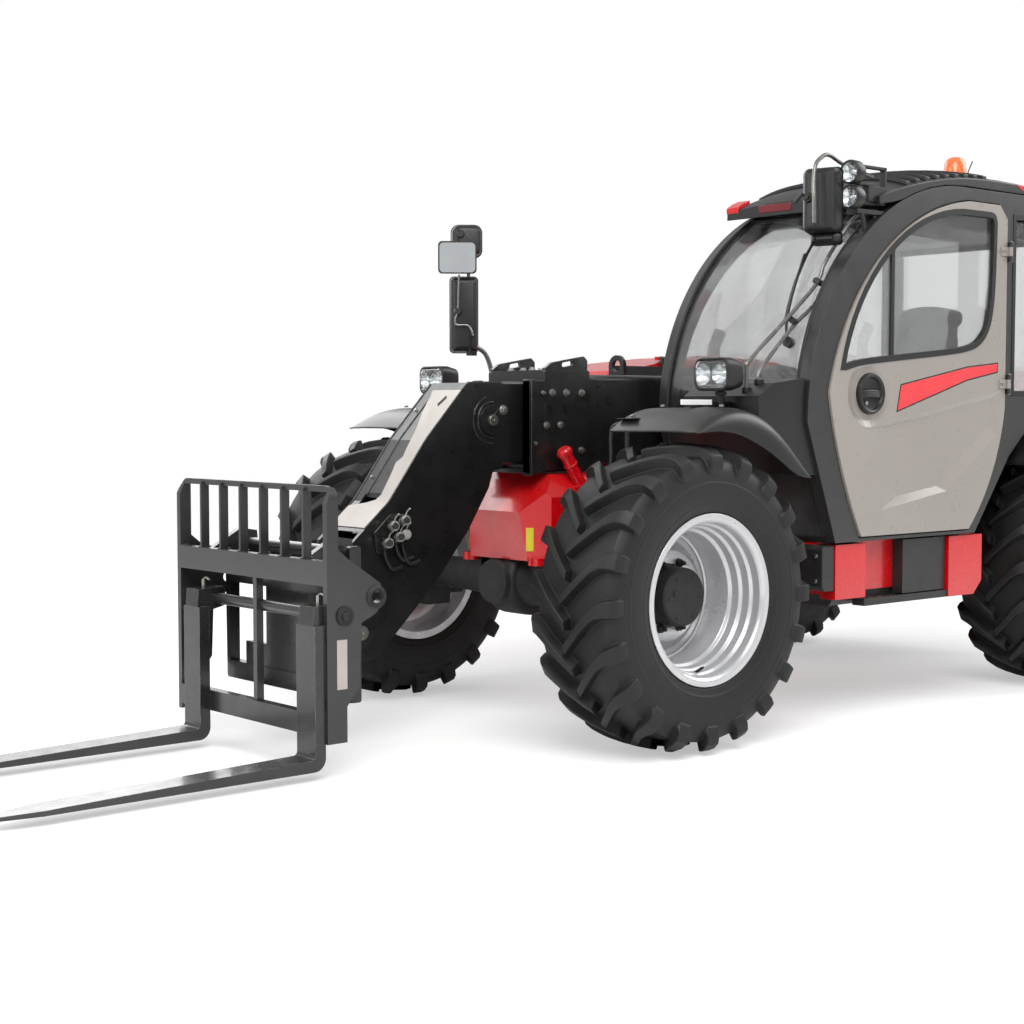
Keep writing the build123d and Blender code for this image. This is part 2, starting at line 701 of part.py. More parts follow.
shaft_z = 590
shaft_x = 1330
shaft_r = 22
slat_count = 8
slat_thick = 12


def fork_carriage():
    front = carriage_front_x
    side_flat = outline((front, carriage_bottom_z), (front, carriage_top_z - 60),
                        (front - 30, carriage_top_z), (front - 50, carriage_top_z), (front - 50, 830),
                        (front - 100, 790), (1140, 700), (1120, 640), (1160, 590), (1225, 560), (1235, 330),
                        (1290, 260), (1290, carriage_bottom_z))
    side = side_on(side_flat, carriage_half - 25, carriage_half)
    side += disc_y(1160, 650, 42, carriage_half - 30, carriage_half + 6)
    side -= disc_y(1160, 650, 22, carriage_half - 40, carriage_half + 10)
    body = both_sides(side)
    body += block(front - 40, front, -carriage_half, carriage_half, 700, 790)
    body += block(front - 40, front, -carriage_half, carriage_half, 150, 230)
    body += block(front - 40, front - 10, 20, 45, 230, 700)
    body += block(front - 40, front - 20, -carriage_half, carriage_half, carriage_top_z - 22, carriage_top_z)
    inner = carriage_half - 25
    pitch = 2 * inner / (slat_count - 1)
    for k in range(1, slat_count - 1):
        y = -inner + pitch * k
        body += block(front - 45, front - 10, y - slat_thick / 2, y + slat_thick / 2, 780,
                      carriage_top_z - 10)
    body += disc_y(shaft_x, shaft_z, shaft_r, -carriage_half + 10, carriage_half - 10)
    # hooks that hang over the tool carrier's round bar
    hook = outline((front - 40, 700), (front - 40, 790), (hook_bar_x + 25, hook_bar_z + 62),
                   (hook_bar_x - 50, hook_bar_z + 50), (hook_bar_x - 56, hook_bar_z - 6),
                   (hook_bar_x - 30, hook_bar_z - 14), (hook_bar_x + 34, hook_bar_z - 22), (1290, 700))
    for y in (-330, 330):
        body += side_on(hook, y - 15, y + 15)
    # rounded upper corners, as of a bent bar
    r = 50
    corner = block(front - 60, front + 1, carriage_half - r, carriage_half + 1, carriage_top_z - r,
                   carriage_top_z + 1)
    corner -= disc_x(carriage_half - r, carriage_top_z - r, r, front - 61, front + 2)
    body -= both_sides(corner)
    return body - disc_y(hook_bar_x, hook_bar_z, hook_bar_r + 0.3, -400, 400)


parts["fork_carriage"] = fork_carriage()


heel_r = 48
throat_r = 16


def fork(y):
    face = carriage_front_x
    heel_z = fork_bottom_z
    tip = face + fork_thick + fork_blade
    shank_top = 560
    flat = Polygon(
        (face, shank_top), (face + fork_thick, shank_top), (face + fork_thick, heel_z + fork_thick),
        (tip, heel_z + 14), (tip, heel_z), (face, heel_z), align=None,
    )
    corners = flat.vertices().group_by(Axis.X)
    heel = corners[0].sort_by(Axis.Y)[0]
    throat = corners[1].sort_by(Axis.Y)[0]
    flat = fillet(heel, heel_r)
    flat = fillet(flat.vertices().sort_by_distance(throat)[0], throat_r)
    blade = side_on(flat, y - fork_width / 2, y + fork_width / 2)
    nose = plan(outline((face - 100, y - fork_width / 2), (tip - 160, y - fork_width / 2), (tip, y - 32),
                        (tip, y + 32), (tip - 160, y + fork_width / 2), (face - 100, y + fork_width / 2)), 0,
                800)
    blade = blade & nose
    eye = side_on(outline((shaft_x - 45, shaft_z - 28), (face, shaft_z - 50), (face + fork_thick, shank_top),
                          (face + fork_thick - 6, shaft_z + 40), (shaft_x - 30, shaft_z + 44)), y - 45,
                  y + 45)
    eye -= disc_y(shaft_x, shaft_z, shaft_r + 1, y - 50, y + 50)
    return blade + eye


parts["forks"] = fork(fork_left_y) + fork(fork_right_y)


# ---------------------------------------------------------------- cab
def cab_outline(grow=0):
    # side view of the cab: flat roof line, one round front, raked lower front, cut-back rear
    r = cab_arc_r + grow
    top_z = cab_arc_z + r
    front_x = cab_arc_x + r
    rear_x = cab_rear_x - grow
    floor_z = cab_floor_z - grow
    half = r * sqrt(0.5)
    arc = ThreePointArc((cab_arc_x, top_z), (cab_arc_x + half, cab_arc_z + half), (front_x, cab_arc_z))
    rest = Polyline((front_x, cab_arc_z), (-800 + grow, floor_z), (-1780 - grow, floor_z),
                    (-2040 - grow, 1120), (-2180 - grow, 1240 - grow), (rear_x, 1290 - grow),
                    (rear_x, top_z - 60), (rear_x + 60, top_z), (cab_arc_x, top_z))
    return make_face(arc + rest)


door_rear_x = -1990
door_top_z = 2255
door_bottom_z = 800
door_front_x = -745


def door_outline(grow=0):
    g = grow
    arc = ThreePointArc((-1700, door_top_z + g), (-1075 + g * 0.7, 1975 + g * 0.7), (door_front_x + g, 1400))
    low = ThreePointArc((door_front_x + g, 1400), (-815 + g, 1130), (-960 + g, door_bottom_z - g))
    rear = ThreePointArc((-1725 - g, door_bottom_z - g), (-1905 - g, 1060), (door_rear_x - g, 1340))
    rest = Polyline((-960 + g, door_bottom_z - g), (-1725 - g, door_bottom_z - g))
    back = Polyline((door_rear_x - g, 1340), (door_rear_x - g, 2195 + 0.42 * g),
                    (-1930 - 0.42 * g, door_top_z + g), (-1700, door_top_z + g))
    return make_face(arc + low + rest + rear + back)


def door_window(grow=0):
    g = grow
    arc = ThreePointArc((-1660, 2215 + g), (-1120, 2005 + g), (-815 + g, 1500))
    sill = Polyline((-815 + g, 1500), (-845, 1500 - g), (-1000, 1528 - g), (-1520, 1575 - g),
                    (-1760, 1612 - g), (-1860 - g, 1700), (-1895 - g, 1900), (-1905 - g, 2180),
                    (-1870, 2215 + g), (-1660, 2215 + g))
    return make_face(arc + sill)


frame_thick = 60
door_face_y = cab_left_y + 8
door_hinge_x = -2000
door_hinge_y = door_face_y + 12
door_hinges = (1450, 2050)
hinge_pin_r = 6
hinge_barrel_r = 10
hinge_half = 20
hinge_lug = 24
handle_x = -1000
handle_z = 1400
handle_r = 88
dish_r = 140
dish_deep = 9
field_deep = 13


def cab_frame():
    outer = cab_outline()
    left = side_on(outer, cab_left_y - frame_thick, cab_left_y)
    left -= side_on(door_outline(6), cab_left_y - frame_thick + 25, cab_left_y + 1)
    left -= side_on(door_outline(-28), cab_left_y - frame_thick - 1, cab_left_y + 1)
    # rear quarter window
    left -= side_on(outline((-2050, 1400), (-2050, 2220), (-2270, 2220), (-2270, 1400), radius=30),
                    cab_left_y - frame_thick - 1, cab_left_y + 1)
    right = side_on(outer, cab_right_y, cab_right_y + 40)
    hole_arc = ThreePointArc((cab_arc_x, 2235), (-1000, 1950), (-705, 1400))
    hole = make_face(hole_arc + Polyline((-705, 1400), (-705, 1330), (-2250, 1330), (-2250, 2235),
                                         (cab_arc_x, 2235)))
    right -= side_on(hole, cab_right_y - 1, cab_right_y + 41)
    body = left + right
    y0, y1 = cab_right_y + 40, cab_left_y - frame_thick
    body += block(cab_rear_x, cab_rear_x + 50, y0, y1, 2230, 2310)
    body += block(cab_rear_x, cab_rear_x + 50, y0, y1, 1290, 1350)
    body += block(-1300, -1240, y0, y1, 2160, 2225)
    body += block(-700, -640, y0, y1, 1250, 1310)
    # lugs and pins of the door's hinges
    for z in door_hinges:
        for z0 in (z - hinge_half - hinge_lug, z + hinge_half + 1):
            z1 = z0 + hinge_lug - 1
            body += block(door_hinge_x - 24, door_hinge_x, cab_left_y - 2, door_hinge_y, z0, z1)
            body += disc_z(door_hinge_x, door_hinge_y, hinge_barrel_r - 1, z0, z1)
        body += disc_z(door_hinge_x, door_hinge_y, hinge_pin_r, z - hinge_half - 5, z + hinge_half + 5)
    return body


parts["cab_frame"] = cab_frame()


def ring_piece(r0, r1, z_low, z_high):
    # part of the round cab front between two radii and two heights
    ring = Pos(cab_arc_x, cab_arc_z) * (Circle(r1) - Circle(r0))
    keep = Pos(cab_arc_x + 700, (z_low + z_high) / 2) * Rectangle(1400, z_high - z_low)
    return ring & keep


def windscreen():
    y0, y1 = cab_right_y + 40.4, cab_left_y - frame_thick - 0.4
    return side_on(ring_piece(cab_arc_r - 14, cab_arc_r - 6, 1312, 2205), y0, y1)




def cab_panels():
    y0, y1 = cab_right_y + 40, cab_left_y - frame_thick
    floor = block(-1780, -810, y0, y1, cab_floor_z, cab_floor_z + 20)
    front = side_on(outline((-640, 1250), (-800, cab_floor_z), (-815, cab_floor_z), (-655, 1250)), y0, y1)
    rear = side_on(outline((-1780, cab_floor_z), (-2040, 1120), (-2180, 1240), (cab_rear_x, 1290),
                           (cab_rear_x, 1275 + 15),
                           (-2176, 1258), (-2030, 1134), (-1766, cab_floor_z)), y0, y1)
    return floor + front + rear


parts["cab_panels"] = cab_panels()


def cab_windows():
    fit = 0.4
    right_arc = ThreePointArc((cab_arc_x, 2235 - fit), (-1000, 1950 - fit), (-705 - fit, 1400))
    right = make_face(right_arc + Polyline((-705 - fit, 1400), (-705 - fit, 1330 + fit),
                                           (-2250 + fit, 1330 + fit),
                                           (-2250 + fit, 2235 - fit), (cab_arc_x, 2235 - fit)))
    panes = side_on(right, cab_right_y + 16, cab_right_y + 22)
    quarter = outline((-2050 - fit, 1400 + fit), (-2050 - fit, 2220 - fit), (-2270 + fit, 2220 - fit),
                      (-2270 + fit, 1400 + fit), radius=30)
    panes += side_on(quarter, cab_left_y - 30, cab_left_y - 24)
    panes += block(cab_rear_x + 20, cab_rear_x + 26, cab_right_y + 40 + fit, cab_left_y - frame_thick - fit,
                   1350 + fit, 2230 - fit)
    return panes


parts["cab_glass"] = windscreen() + cab_windows()

roof_top_z = 2410


def cab_roof():
    y0, y1 = cab_right_y - 10, cab_left_y + 5
    side = outline((-1150, 2255), (-1140, 2320), (-1380, 2385), (-1650, roof_top_z), (-2260, roof_top_z),
                   (cab_rear_x - 30, 2370), (cab_rear_x - 30, cab_top_z), (cab_arc_x, cab_top_z),
                   (-1380, 2285))
    body = side_on(side, y0, y1) - disc_y(cab_arc_x, cab_arc_z, cab_arc_r + 0.3, y0 - 1, y1 + 1)
    opening = block(-1950, -1420, y0 + 130, y1 - 130, 2300, roof_top_z + 10)
    body -= opening
    for k in range(8):
        x = -1460 - 62 * k
        body += block(x - 12, x + 12, y0 + 120, y1 - 120, roof_top_z - 36, roof_top_z - 8)
    return body


parts["cab_roof"] = cab_roof()


def door_panel():
    y1 = door_face_y
    body = side_on(door_outline() - door_window(), y1 - door_thick, y1)
    # round dish about the handle
    x, z, rim = handle_x, handle_z, dish_r
    cone = Pos(x, y1 - dish_deep / 2, z) * Rot(-90, 0, 0) * Cone(rim - 3 * dish_deep, rim, dish_deep)
    body -= cone - disc_y(x, z, handle_r, y1 - dish_deep - 1, y1 + 1)
    # pressed field in the lower half
    edge = [(-985, 1252), (-1078, 905), (-1556, 975), (-1930, 1215), (-1950, 1420)]
    field = [(-1150, 1262), (-1208, 962), (-1491, 998), (-1890, 1262), (-1900, 1385)]
    top = Plane((0, y1, 0), (1, 0, 0), (0, -1, 0)) * Polygon(*edge, align=None)
    bottom = Plane((0, y1 - field_deep, 0), (1, 0, 0), (0, -1, 0)) * Polygon(*field, align=None)
    body -= loft([top.face(), bottom.face()], ruled=True)
    # hinge barrels, each on a strap over the door's rear edge
    for z in door_hinges:
        body += block(door_hinge_x, door_hinge_x + 62, y1, y1 + 6, z - hinge_half, z + hinge_half)
        body += disc_z(door_hinge_x, door_hinge_y, hinge_barrel_r, z - hinge_half, z + hinge_half)
        body -= disc_z(door_hinge_x, door_hinge_y, hinge_pin_r + running, z - hinge_half - 1,
                       z + hinge_half + 1)
    return body


parts["door_panel"] = door_panel()
parts["door_glass"] = side_on(door_window(-0.5), cab_left_y - 8, cab_left_y - 2)


def dashboard():
    box = side_on(outline((-830, cab_floor_z + 20), (-700, 1180), (-760, 1290), (-900, 1270), (-960, 1150),
                          (-930, cab_floor_z + 20)), 420, 820)
    column = tube_path([(-880, 620, 1200), (-1060, 620, 1370)], 32)
    return box + column


parts["dashboard"] = dashboard()


def steering_wheel():
    ring = Torus(185, 14)
    ring += Cylinder(40, 30)
    for k in range(3):
        ring += Rot(0, 0, 120 * k) * Pos(92, 0, 0) * Box(175, 26, 10)
    rise = degrees(atan2(180, 170))
    return Pos(-1060 - 15 * sin(radians(rise)), 620, 1370 + 15 * cos(radians(rise))) * Rot(0, -rise, 0) * ring


parts["steering_wheel"] = steering_wheel()


seat_left_y = 805
seat_right_y = 435


def operator_seat():
    base = block(-1700, -1400, 450, 790, cab_floor_z + 20, 1040)
    console = block(-1760, -1380, 330, 410, cab_floor_z + 20, 1180)
    cushion = side_on(outline((-1340, 1040), (-1340, 1120), (-1870, 1140), (-1870, 1040), radius=24),
                      seat_right_y, seat_left_y)
    back = side_on(outline((-1870, 1050), (-1870, 1145), (-1950, 1826), (-2060, 1826), (-1995, 1145),
                           (-1965, 1050),
                            radius=20),
                   seat_right_y, seat_left_y)
    return base + console, cushion, back


seat_base, seat_cushion, seat_back = operator_seat()
parts["seat_base"] = seat_base
parts["seat_cushion"] = seat_cushion
parts["seat_backrest"] = seat_back


# ---------------------------------------------------------------- sill and tank under the cab
cab_front_slope = (cab_arc_x + cab_arc_r + 800) / (cab_arc_z - cab_floor_z)


def fuel_tank():
    # fits between the two cross beams
    tank = block(-1805, -895, 305, sill_in_y - 2, 500, 752)
    return fillet(tank.edges().filter_by(Axis.X), 30)


parts["fuel_tank"] = fuel_tank()


def side_boxes():
    front = block(-1020, -820, sill_in_y, sill_out_y, 540, 770)
    rear = side_on(outline((-1860, 770), (-1860, 560), (-1800, 500), (-1610, 500), (-1610, 770)), sill_in_y,
                   sill_out_y)
    back_panel = block(-1610, -1020, sill_in_y, sill_in_y + 10, 560, 770)
    return front + rear + back_panel


parts["side_boxes"] = side_boxes()


def cab_step():
    # black tool box with a toothed tread bar along its foot
    box = block(-1600, -1295, sill_in_y + 10, sill_out_y - 15, 535, 770)
    tread = block(-1609, -1021, sill_in_y + 10, sill_out_y - 6, 500, 530)
    for k in range(9):
        tread -= disc_z(-1070 - 60 * k, sill_out_y - 38, 14, 490, 540)
    return box + tread + block(-1600, -1295, sill_in_y + 10, sill_in_y + 20, 525, 540)


parts["cab_step"] = cab_step()

# ---------------------------------------------------------------- fenders
fender_in_y = 655
fender_out_y = 1135
fender_sheet = 8
front_fender_top = [(105, 1250), (20, 1302), (-90, 1338), (-220, 1340), (-350, 1285), (-470, 1187),
                    (-560, 1066)]
front_fender_lip = [(105, 1242), (-40, 1250), (-165, 1222), (-310, 1163), (-487, 1061), (-560, 1058)]
rear_fender_r = 740
rear_fender_reach = 560  # ahead of and behind the rear axle


def fender_shell(top, lip, y_in):
    # a bent sheet over the tyre with a lip folded down along its outer side
    under = [(x, z - fender_sheet) for x, z in top]
    body = side_on(Polygon(*top, *reversed(under), align=None), y_in, fender_out_y)
    body += side_on(Polygon(*top, *reversed(lip), align=None), fender_out_y - fender_sheet, fender_out_y)
    return body


fender_stay_z = 930


def fender_stay(x, z_foot, y_foot, z_top):
    path = [(x, y_foot - 1, z_foot), (x, y_foot + 62, z_foot), (x, y_foot + 62, z_top),
            (x, fender_out_y - 60, z_top)]
    return tube_path(path, 15, bend=36)


def front_fender():
    body = fender_shell(front_fender_top, front_fender_lip, fender_in_y)
    stay_z = 1340 - fender_sheet - 15
    body += fender_stay(-150, fender_stay_z, nose_half, stay_z)
    return body - block(-200, 0, nose_half - 30, nose_half, 900, 1100)


parts["front_fenders"] = both_sides(front_fender())


def rear_fender():
    tops = []
    lips = []
    for k in range(9):
        x = rear_fender_reach * (1 - k / 4)
        z = sqrt(rear_fender_r ** 2 - x ** 2)
        tops.append((rear_axle_x + x, axle_z + z))
        lips.append((rear_axle_x + x, axle_z + z - fender_sheet - 62 * (1 - abs(1 - k / 4) ** 6)))
    body = fender_shell(tops, lips, chassis_half)
    return body - disc_y(boom_pivot_x, boom_pivot_z, 92, chassis_half - 1, chassis_half + 15)


parts["rear_fenders"] = both_sides(rear_fender())

# ---------------------------------------------------------------- cowl under the windscreen
cowl_low_z = 1066


def cab_front_at(z):
    return cab_arc_x + cab_arc_r - (cab_arc_z - z) * cab_front_slope


def front_cowl():
    # wedge that fills the corner between the fender and the cab
    low = front_fender_top[4:]
    points = [(-335, 1292), *low, (cab_front_at(cowl_low_z), cowl_low_z),
              (cab_front_at(cab_arc_z), cab_arc_z),
              (cab_front_at(cab_arc_z) + 8, cab_arc_z + 30), (-612, 1462), (-420, 1440), (-335, 1388)]
    return side_on(Polygon(*points, align=None), 640, 1050)


parts["front_cowl"] = front_cowl()

# ---------------------------------------------------------------- engine side
hood_front_x = -800
hood_rear_x = -2080
hood_in_y = -262
hood_out_y = -1055
hood_bottom_z = 790
hood_hinge_y = hood_in_y + 3
hood_hinge_z = 1580
hood_hinges = (-1150, -1750)
hood_lip_z = 1500  # lower edge of the hood's inner lip
bulkhead_x = -2100
tub_rear_x = -1975


def hood_end(inset=0):
    i = inset
    return Polygon((hood_in_y, 700), (hood_in_y, 1575 - i), (-420, 1604 - i), (-800, 1566 - i),
                   (-950 + i, 1490 - i), (-1028 + i, 1330), (hood_out_y + i, 700), align=None)


def hood_side(inset=0):
    i = inset
    low = hood_bottom_z - 2 * i
    return Polygon((hood_front_x - i, low), (hood_front_x - i - 20, 1400), (hood_front_x - i - 90, 1520 - i),
                   (-1260, 1588 - i), (-1560, 1606 - i), (-1900, 1592 - i), (hood_rear_x + i + 20, 1540 - i),
                   (hood_rear_x + i, 1300), (hood_rear_x + i + 60, low), align=None)


def engine_hood():
    outer = end_on(hood_end(), hood_rear_x, hood_front_x) & side_on(hood_side(), hood_out_y, hood_in_y)
    room = end_on(hood_end(sheet), hood_rear_x, hood_front_x) & side_on(hood_side(sheet), hood_out_y,
                                                                        hood_in_y + 1)
    lip = outer & block(hood_rear_x, hood_front_x, hood_in_y - sheet, hood_in_y, hood_lip_z, 1620)
    body = outer - room + lip
    # hinge barrels on the inner upper edge, with room beside them for the lugs of the fixed wall
    for x in hood_hinges:
        reach = hinge_half + hinge_lug + 3
        body -= disc_x(hood_hinge_y, hood_hinge_z, hinge_barrel_r + clear, x - reach, x + reach)
        strap = block(x - hinge_half, x + hinge_half, hood_in_y - 60, hood_hinge_y, hood_hinge_z - 8,
                      hood_hinge_z + 10)
        body += disc_x(hood_hinge_y, hood_hinge_z, hinge_barrel_r, x - hinge_half, x + hinge_half) + strap
        body -= disc_x(hood_hinge_y, hood_hinge_z, hinge_pin_r + running, x - reach, x + reach)
    # cooling louvres in the outer side
    for k in range(10):
        x = -1250 - 58 * k
        body -= block(x - 17, x + 17, hood_out_y - 20, hood_out_y + 80, 950, 1220)
    return body


parts["engine_hood"] = engine_hood()


def engine_bay():
    out = hood_out_y + 5
    low_z = 520
    tub = end_on(outline((-chassis_half, low_z), (out + 60, low_z), (out, low_z + 60),
                         (out, hood_bottom_z - clear),
                         (-chassis_half, hood_bottom_z - clear)), tub_rear_x, hood_front_x)
    room = end_on(outline((-chassis_half + 1, low_z + sheet), (out + 64, low_z + sheet),
                          (out + sheet, low_z + 64),
                          (out + sheet, 800), (-chassis_half + 1, 800)), tub_rear_x + sheet,
                  hood_front_x - sheet)
    tub -= room
    for x in (-850, -1850):
        tub -= block(x - 45, x + 45, -990, -chassis_half + 1, 560, 680)
        tub -= block(x - 45, x + 45, -961, -879, 670, 800)
        tub -= block(x - 45, x + 45, -301, -chassis_half + 1, 670, 800)
    # fixed wall beside the boom that the hood hinges on, and a bulkhead at each end of the hood
    wall_y = hood_in_y + clear
    front_x = hood_front_x + clear
    wall = block(bulkhead_x, front_x + sheet, wall_y, wall_y + 10, 784, hood_lip_z + 40)
    wall += block(-1950, -810, wall_y, -chassis_half, cab_floor_z, cab_floor_z + 6)
    rear = end_on(outline((wall_y + 10, 1070), (wall_y + 10, 1530), (-420, 1550), (-800, 1520), (-960, 1440),
                          (-1010, 1300), (-1020, 1070)), bulkhead_x, bulkhead_x + sheet)
    front = end_on(outline((wall_y + 10, 740), (wall_y + 10, 1450), (-850, 1440), (-980, 1380), (-1000, 1250),
                           (-1030, 740)), front_x, front_x + sheet)
    body = tub + wall + rear + front
    for x in hood_hinges:
        for x0 in (x - hinge_half - hinge_lug, x + hinge_half + 1):
            x1 = x0 + hinge_lug - 1
            body += block(x0, x1, hood_hinge_y, wall_y + 10, hood_lip_z, hood_hinge_z)
            body += disc_x(hood_hinge_y, hood_hinge_z, hinge_barrel_r, x0, x1)
        body += disc_x(hood_hinge_y, hood_hinge_z, hinge_pin_r, x - hinge_half - 5, x + hinge_half + 5)
    return body


parts["engine_bay"] = engine_bay()


def engine_block():
    return fillet(block(-1720, -1060, -900, -360, engine_low_z, 1380).edges().filter_by(Axis.X), 50)


parts["engine_block"] = engine_block()


def exhaust():
    x = bulkhead_x - 72
    y = -900
    pipe = tube_path([(x, y, 1280), (x, y, 1680), (x - 50, y, 1760)], 34, bend=50)
    can = disc_z(x, y, 62, 1300, 1540)
    for z in (1330, 1480):
        can += block(x, bulkhead_x, y - 30, y + 30, z, z + 25)
    return pipe + can


parts["exhaust"] = exhaust()


# ---------------------------------------------------------------- lamps and mirrors
head_lamp_x = -270
head_lamp_y = 905
head_lamp_z = 1474


work_lamp_y = 1046


def lamps():
    head = block(head_lamp_x - 60, head_lamp_x + 60, head_lamp_y - 92, head_lamp_y + 92,
                 head_lamp_z - 66, head_lamp_z + 66)
    head = fillet(head.edges().filter_by(Axis.X), 34)
    head += disc_z(head_lamp_x, head_lamp_y, 16, 1300, head_lamp_z)
    head -= parts["front_fenders"]
    tail = block(rear_axle_x - rear_fender_reach - 50, rear_axle_x - rear_fender_reach + 10, 900, 1060, 1110,
                 1200)
    tail += block(rear_axle_x - rear_fender_reach - 6, rear_axle_x - rear_fender_reach + 40, 940, 1020, 1080,
                  1130)
    tail -= parts["rear_fenders"]
    y = work_lamp_y
    work = disc_x(y, 2225, 48, -940, -880) + disc_x(y, 2335, 48, -940, -880)
    work += block(-935, -915, y - 7, y + 7, 2225, 2335)
    work += tube_path([(-925, y, 2200), (-925, y, 2120), (-985, y, 2030)], 9, bend=25)
    work -= parts["cab_frame"]
    return both_sides(head) + both_sides(tail) + work


parts["lamps"] = lamps()


def mirror_box(x, y, z, turn, thick, width, height):
    case = Box(thick, width, height)
    case = fillet(case.edges().filter_by(Axis.X), 24)
    return Pos(x, y, z) * Rot(0, 0, turn) * case


def mirrors():
    # left: two stays rise from the cowl along the windscreen's edge, and a hoop carries the glass
    left = tube_path([(-430, 984, 1430), (-500, 984, 1560), (-740, 984, 1865), (-930, 984, 2105),
                      (-930, 984, 2395), (-800, 960, 2440), (-770, 960, 2300)], 10, bend=40)
    left += tube_path([(-490, 984, 1425), (-545, 984, 1560), (-775, 984, 1850), (-960, 984, 2080)], 8,
                      bend=40)
    left += tube_path([(-930, 984, 2180), (-800, 962, 2180)], 9)
    left += mirror_box(-800, 960, 2205, 8, 90, 150, 320)
    left -= parts["cab_frame"]
    left -= parts["front_cowl"]
    # right: a bent arm from the engine side carries a flat glass, with two wide ones over it
    front_x = hood_front_x + clear + sheet
    right = tube_path([(front_x, -900, 1370), (-622, -900, 1370), (-566, -900, 1625), (-470, -930, 1650)], 12,
                      bend=40)
    right += tube_path([(-470, -930, 1640), (-470, -930, 2190)], 10)
    right += mirror_box(-470, -950, 1795, -23, 80, 190, 370)
    right += mirror_box(-480, -950, 2150, -23, 70, 170, 135)
    right += mirror_box(-405, -930, 2066, 24, 40, 185, 155)
    right += tube_path([(-470, -930, 2066), (-405, -930, 2066)], 9)
    return left + right


parts["mirrors"] = mirrors()


def beacon():
    base = disc_z(-2250, 600, 52, roof_top_z, roof_top_z + 30)
    lens = fillet(disc_z(-2250, 600, 62, roof_top_z + 30, roof_top_z + 140).edges(), 18)
    return base + lens


parts["beacon"] = beacon()


def door_handle():
    y = door_face_y
    pad = fillet(disc_y(handle_x, handle_z, handle_r, y, y + 22).edges().group_by(Axis.Y)[-1], 8)
    bar = block(handle_x - 70, handle_x + 70, y + 4, y + 16, handle_z - 15, handle_z + 15)
    return pad - disc_y(handle_x, handle_z, 52, y + 10, y + 40) + bar


parts["door_handle"] = door_handle()

if __name__ == "__main__":
    os.makedirs("parts", exist_ok=True)
    for name, shape in parts.items():
        export_step(Pos(front_axle_x, 0, 0) * shape, f"parts/{name}.step")
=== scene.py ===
import random
from math import atan2, cos, hypot, pi, radians, sin, sqrt

import bmesh
import bpy
from mathutils import Matrix, Vector


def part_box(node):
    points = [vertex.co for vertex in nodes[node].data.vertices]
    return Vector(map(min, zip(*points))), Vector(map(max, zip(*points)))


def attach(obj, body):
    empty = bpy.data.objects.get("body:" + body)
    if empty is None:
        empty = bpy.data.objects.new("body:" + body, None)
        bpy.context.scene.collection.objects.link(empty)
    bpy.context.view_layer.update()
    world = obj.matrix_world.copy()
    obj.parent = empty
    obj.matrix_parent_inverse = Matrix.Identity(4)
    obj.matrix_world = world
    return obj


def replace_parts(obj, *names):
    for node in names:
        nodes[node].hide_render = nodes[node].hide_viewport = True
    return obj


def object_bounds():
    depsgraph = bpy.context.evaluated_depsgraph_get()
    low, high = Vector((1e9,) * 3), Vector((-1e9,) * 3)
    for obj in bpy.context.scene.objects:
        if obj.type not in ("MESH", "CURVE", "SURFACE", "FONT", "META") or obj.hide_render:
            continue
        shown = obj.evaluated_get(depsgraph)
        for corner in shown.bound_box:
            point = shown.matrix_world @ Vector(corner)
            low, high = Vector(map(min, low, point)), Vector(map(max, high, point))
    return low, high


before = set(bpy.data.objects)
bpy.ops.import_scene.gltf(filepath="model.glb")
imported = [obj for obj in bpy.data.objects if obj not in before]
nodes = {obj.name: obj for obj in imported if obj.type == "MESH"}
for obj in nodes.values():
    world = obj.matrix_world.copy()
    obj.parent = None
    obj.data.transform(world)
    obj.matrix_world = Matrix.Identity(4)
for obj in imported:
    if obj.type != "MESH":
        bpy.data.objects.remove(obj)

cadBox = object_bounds()
random.seed(7)


def middle(node):
    low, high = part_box(node)
    return [(a + b) / 2 for a, b in zip(low, high)]


# every place below is counted from the front axle, on the ground: x forward, y left, z up
axleX = middle("front_left_tyre")[0]
rearAxleX = middle("rear_left_tyre")[0] - axleX


def at(x, y, z):
    return Vector((x + axleX, y, z))


# ------------------------------------------------- materials

def linear(hexText):
    # an sRGB colour such as "#C80010" as linear RGBA
    parts = [int(hexText[i:i + 2], 16) / 255 for i in (1, 3, 5)]
    return [p / 12.92 if p <= 0.04045 else ((p + 0.055) / 1.055) ** 2.4 for p in parts] + [1.0]


def add(tree, kind, settings=None, links=None):
    # one node, its settings by property or socket name (or socket number), and what feeds it
    made = tree.nodes.new(kind)
    for key, value in (settings or {}).items():
        if isinstance(key, str) and hasattr(made, key):
            setattr(made, key, value)
        else:
            made.inputs[key].default_value = value
    for key, source in (links or {}).items():
        tree.links.new(source, made.inputs[key])
    return made


def newMaterial(name):
    made = bpy.data.materials.new(name)
    made.use_nodes = True
    tree = made.node_tree
    tree.nodes.clear()
    place = add(tree, "ShaderNodeTexCoord").outputs["Object"]
    return made, tree, place


def grain(tree, place, sizeMm, detail=3.0, rough=0.5, stretch=None):
    # noise whose blotches are sizeMm across
    if stretch:
        place = add(tree, "ShaderNodeMapping", {"Scale": stretch}, {"Vector": place}).outputs[0]
    return add(tree, "ShaderNodeTexNoise", {"Scale": 1000 / sizeMm / 2, "Detail": detail, "Roughness": rough},
               {"Vector": place}).outputs["Fac"]


def spread(tree, value, low, high, toLow=0.0, toHigh=1.0):
    return add(tree, "ShaderNodeMapRange", {"From Min": low, "From Max": high, "To Min": toLow, "To Max": toHigh},
               {"Value": value}).outputs["Result"]


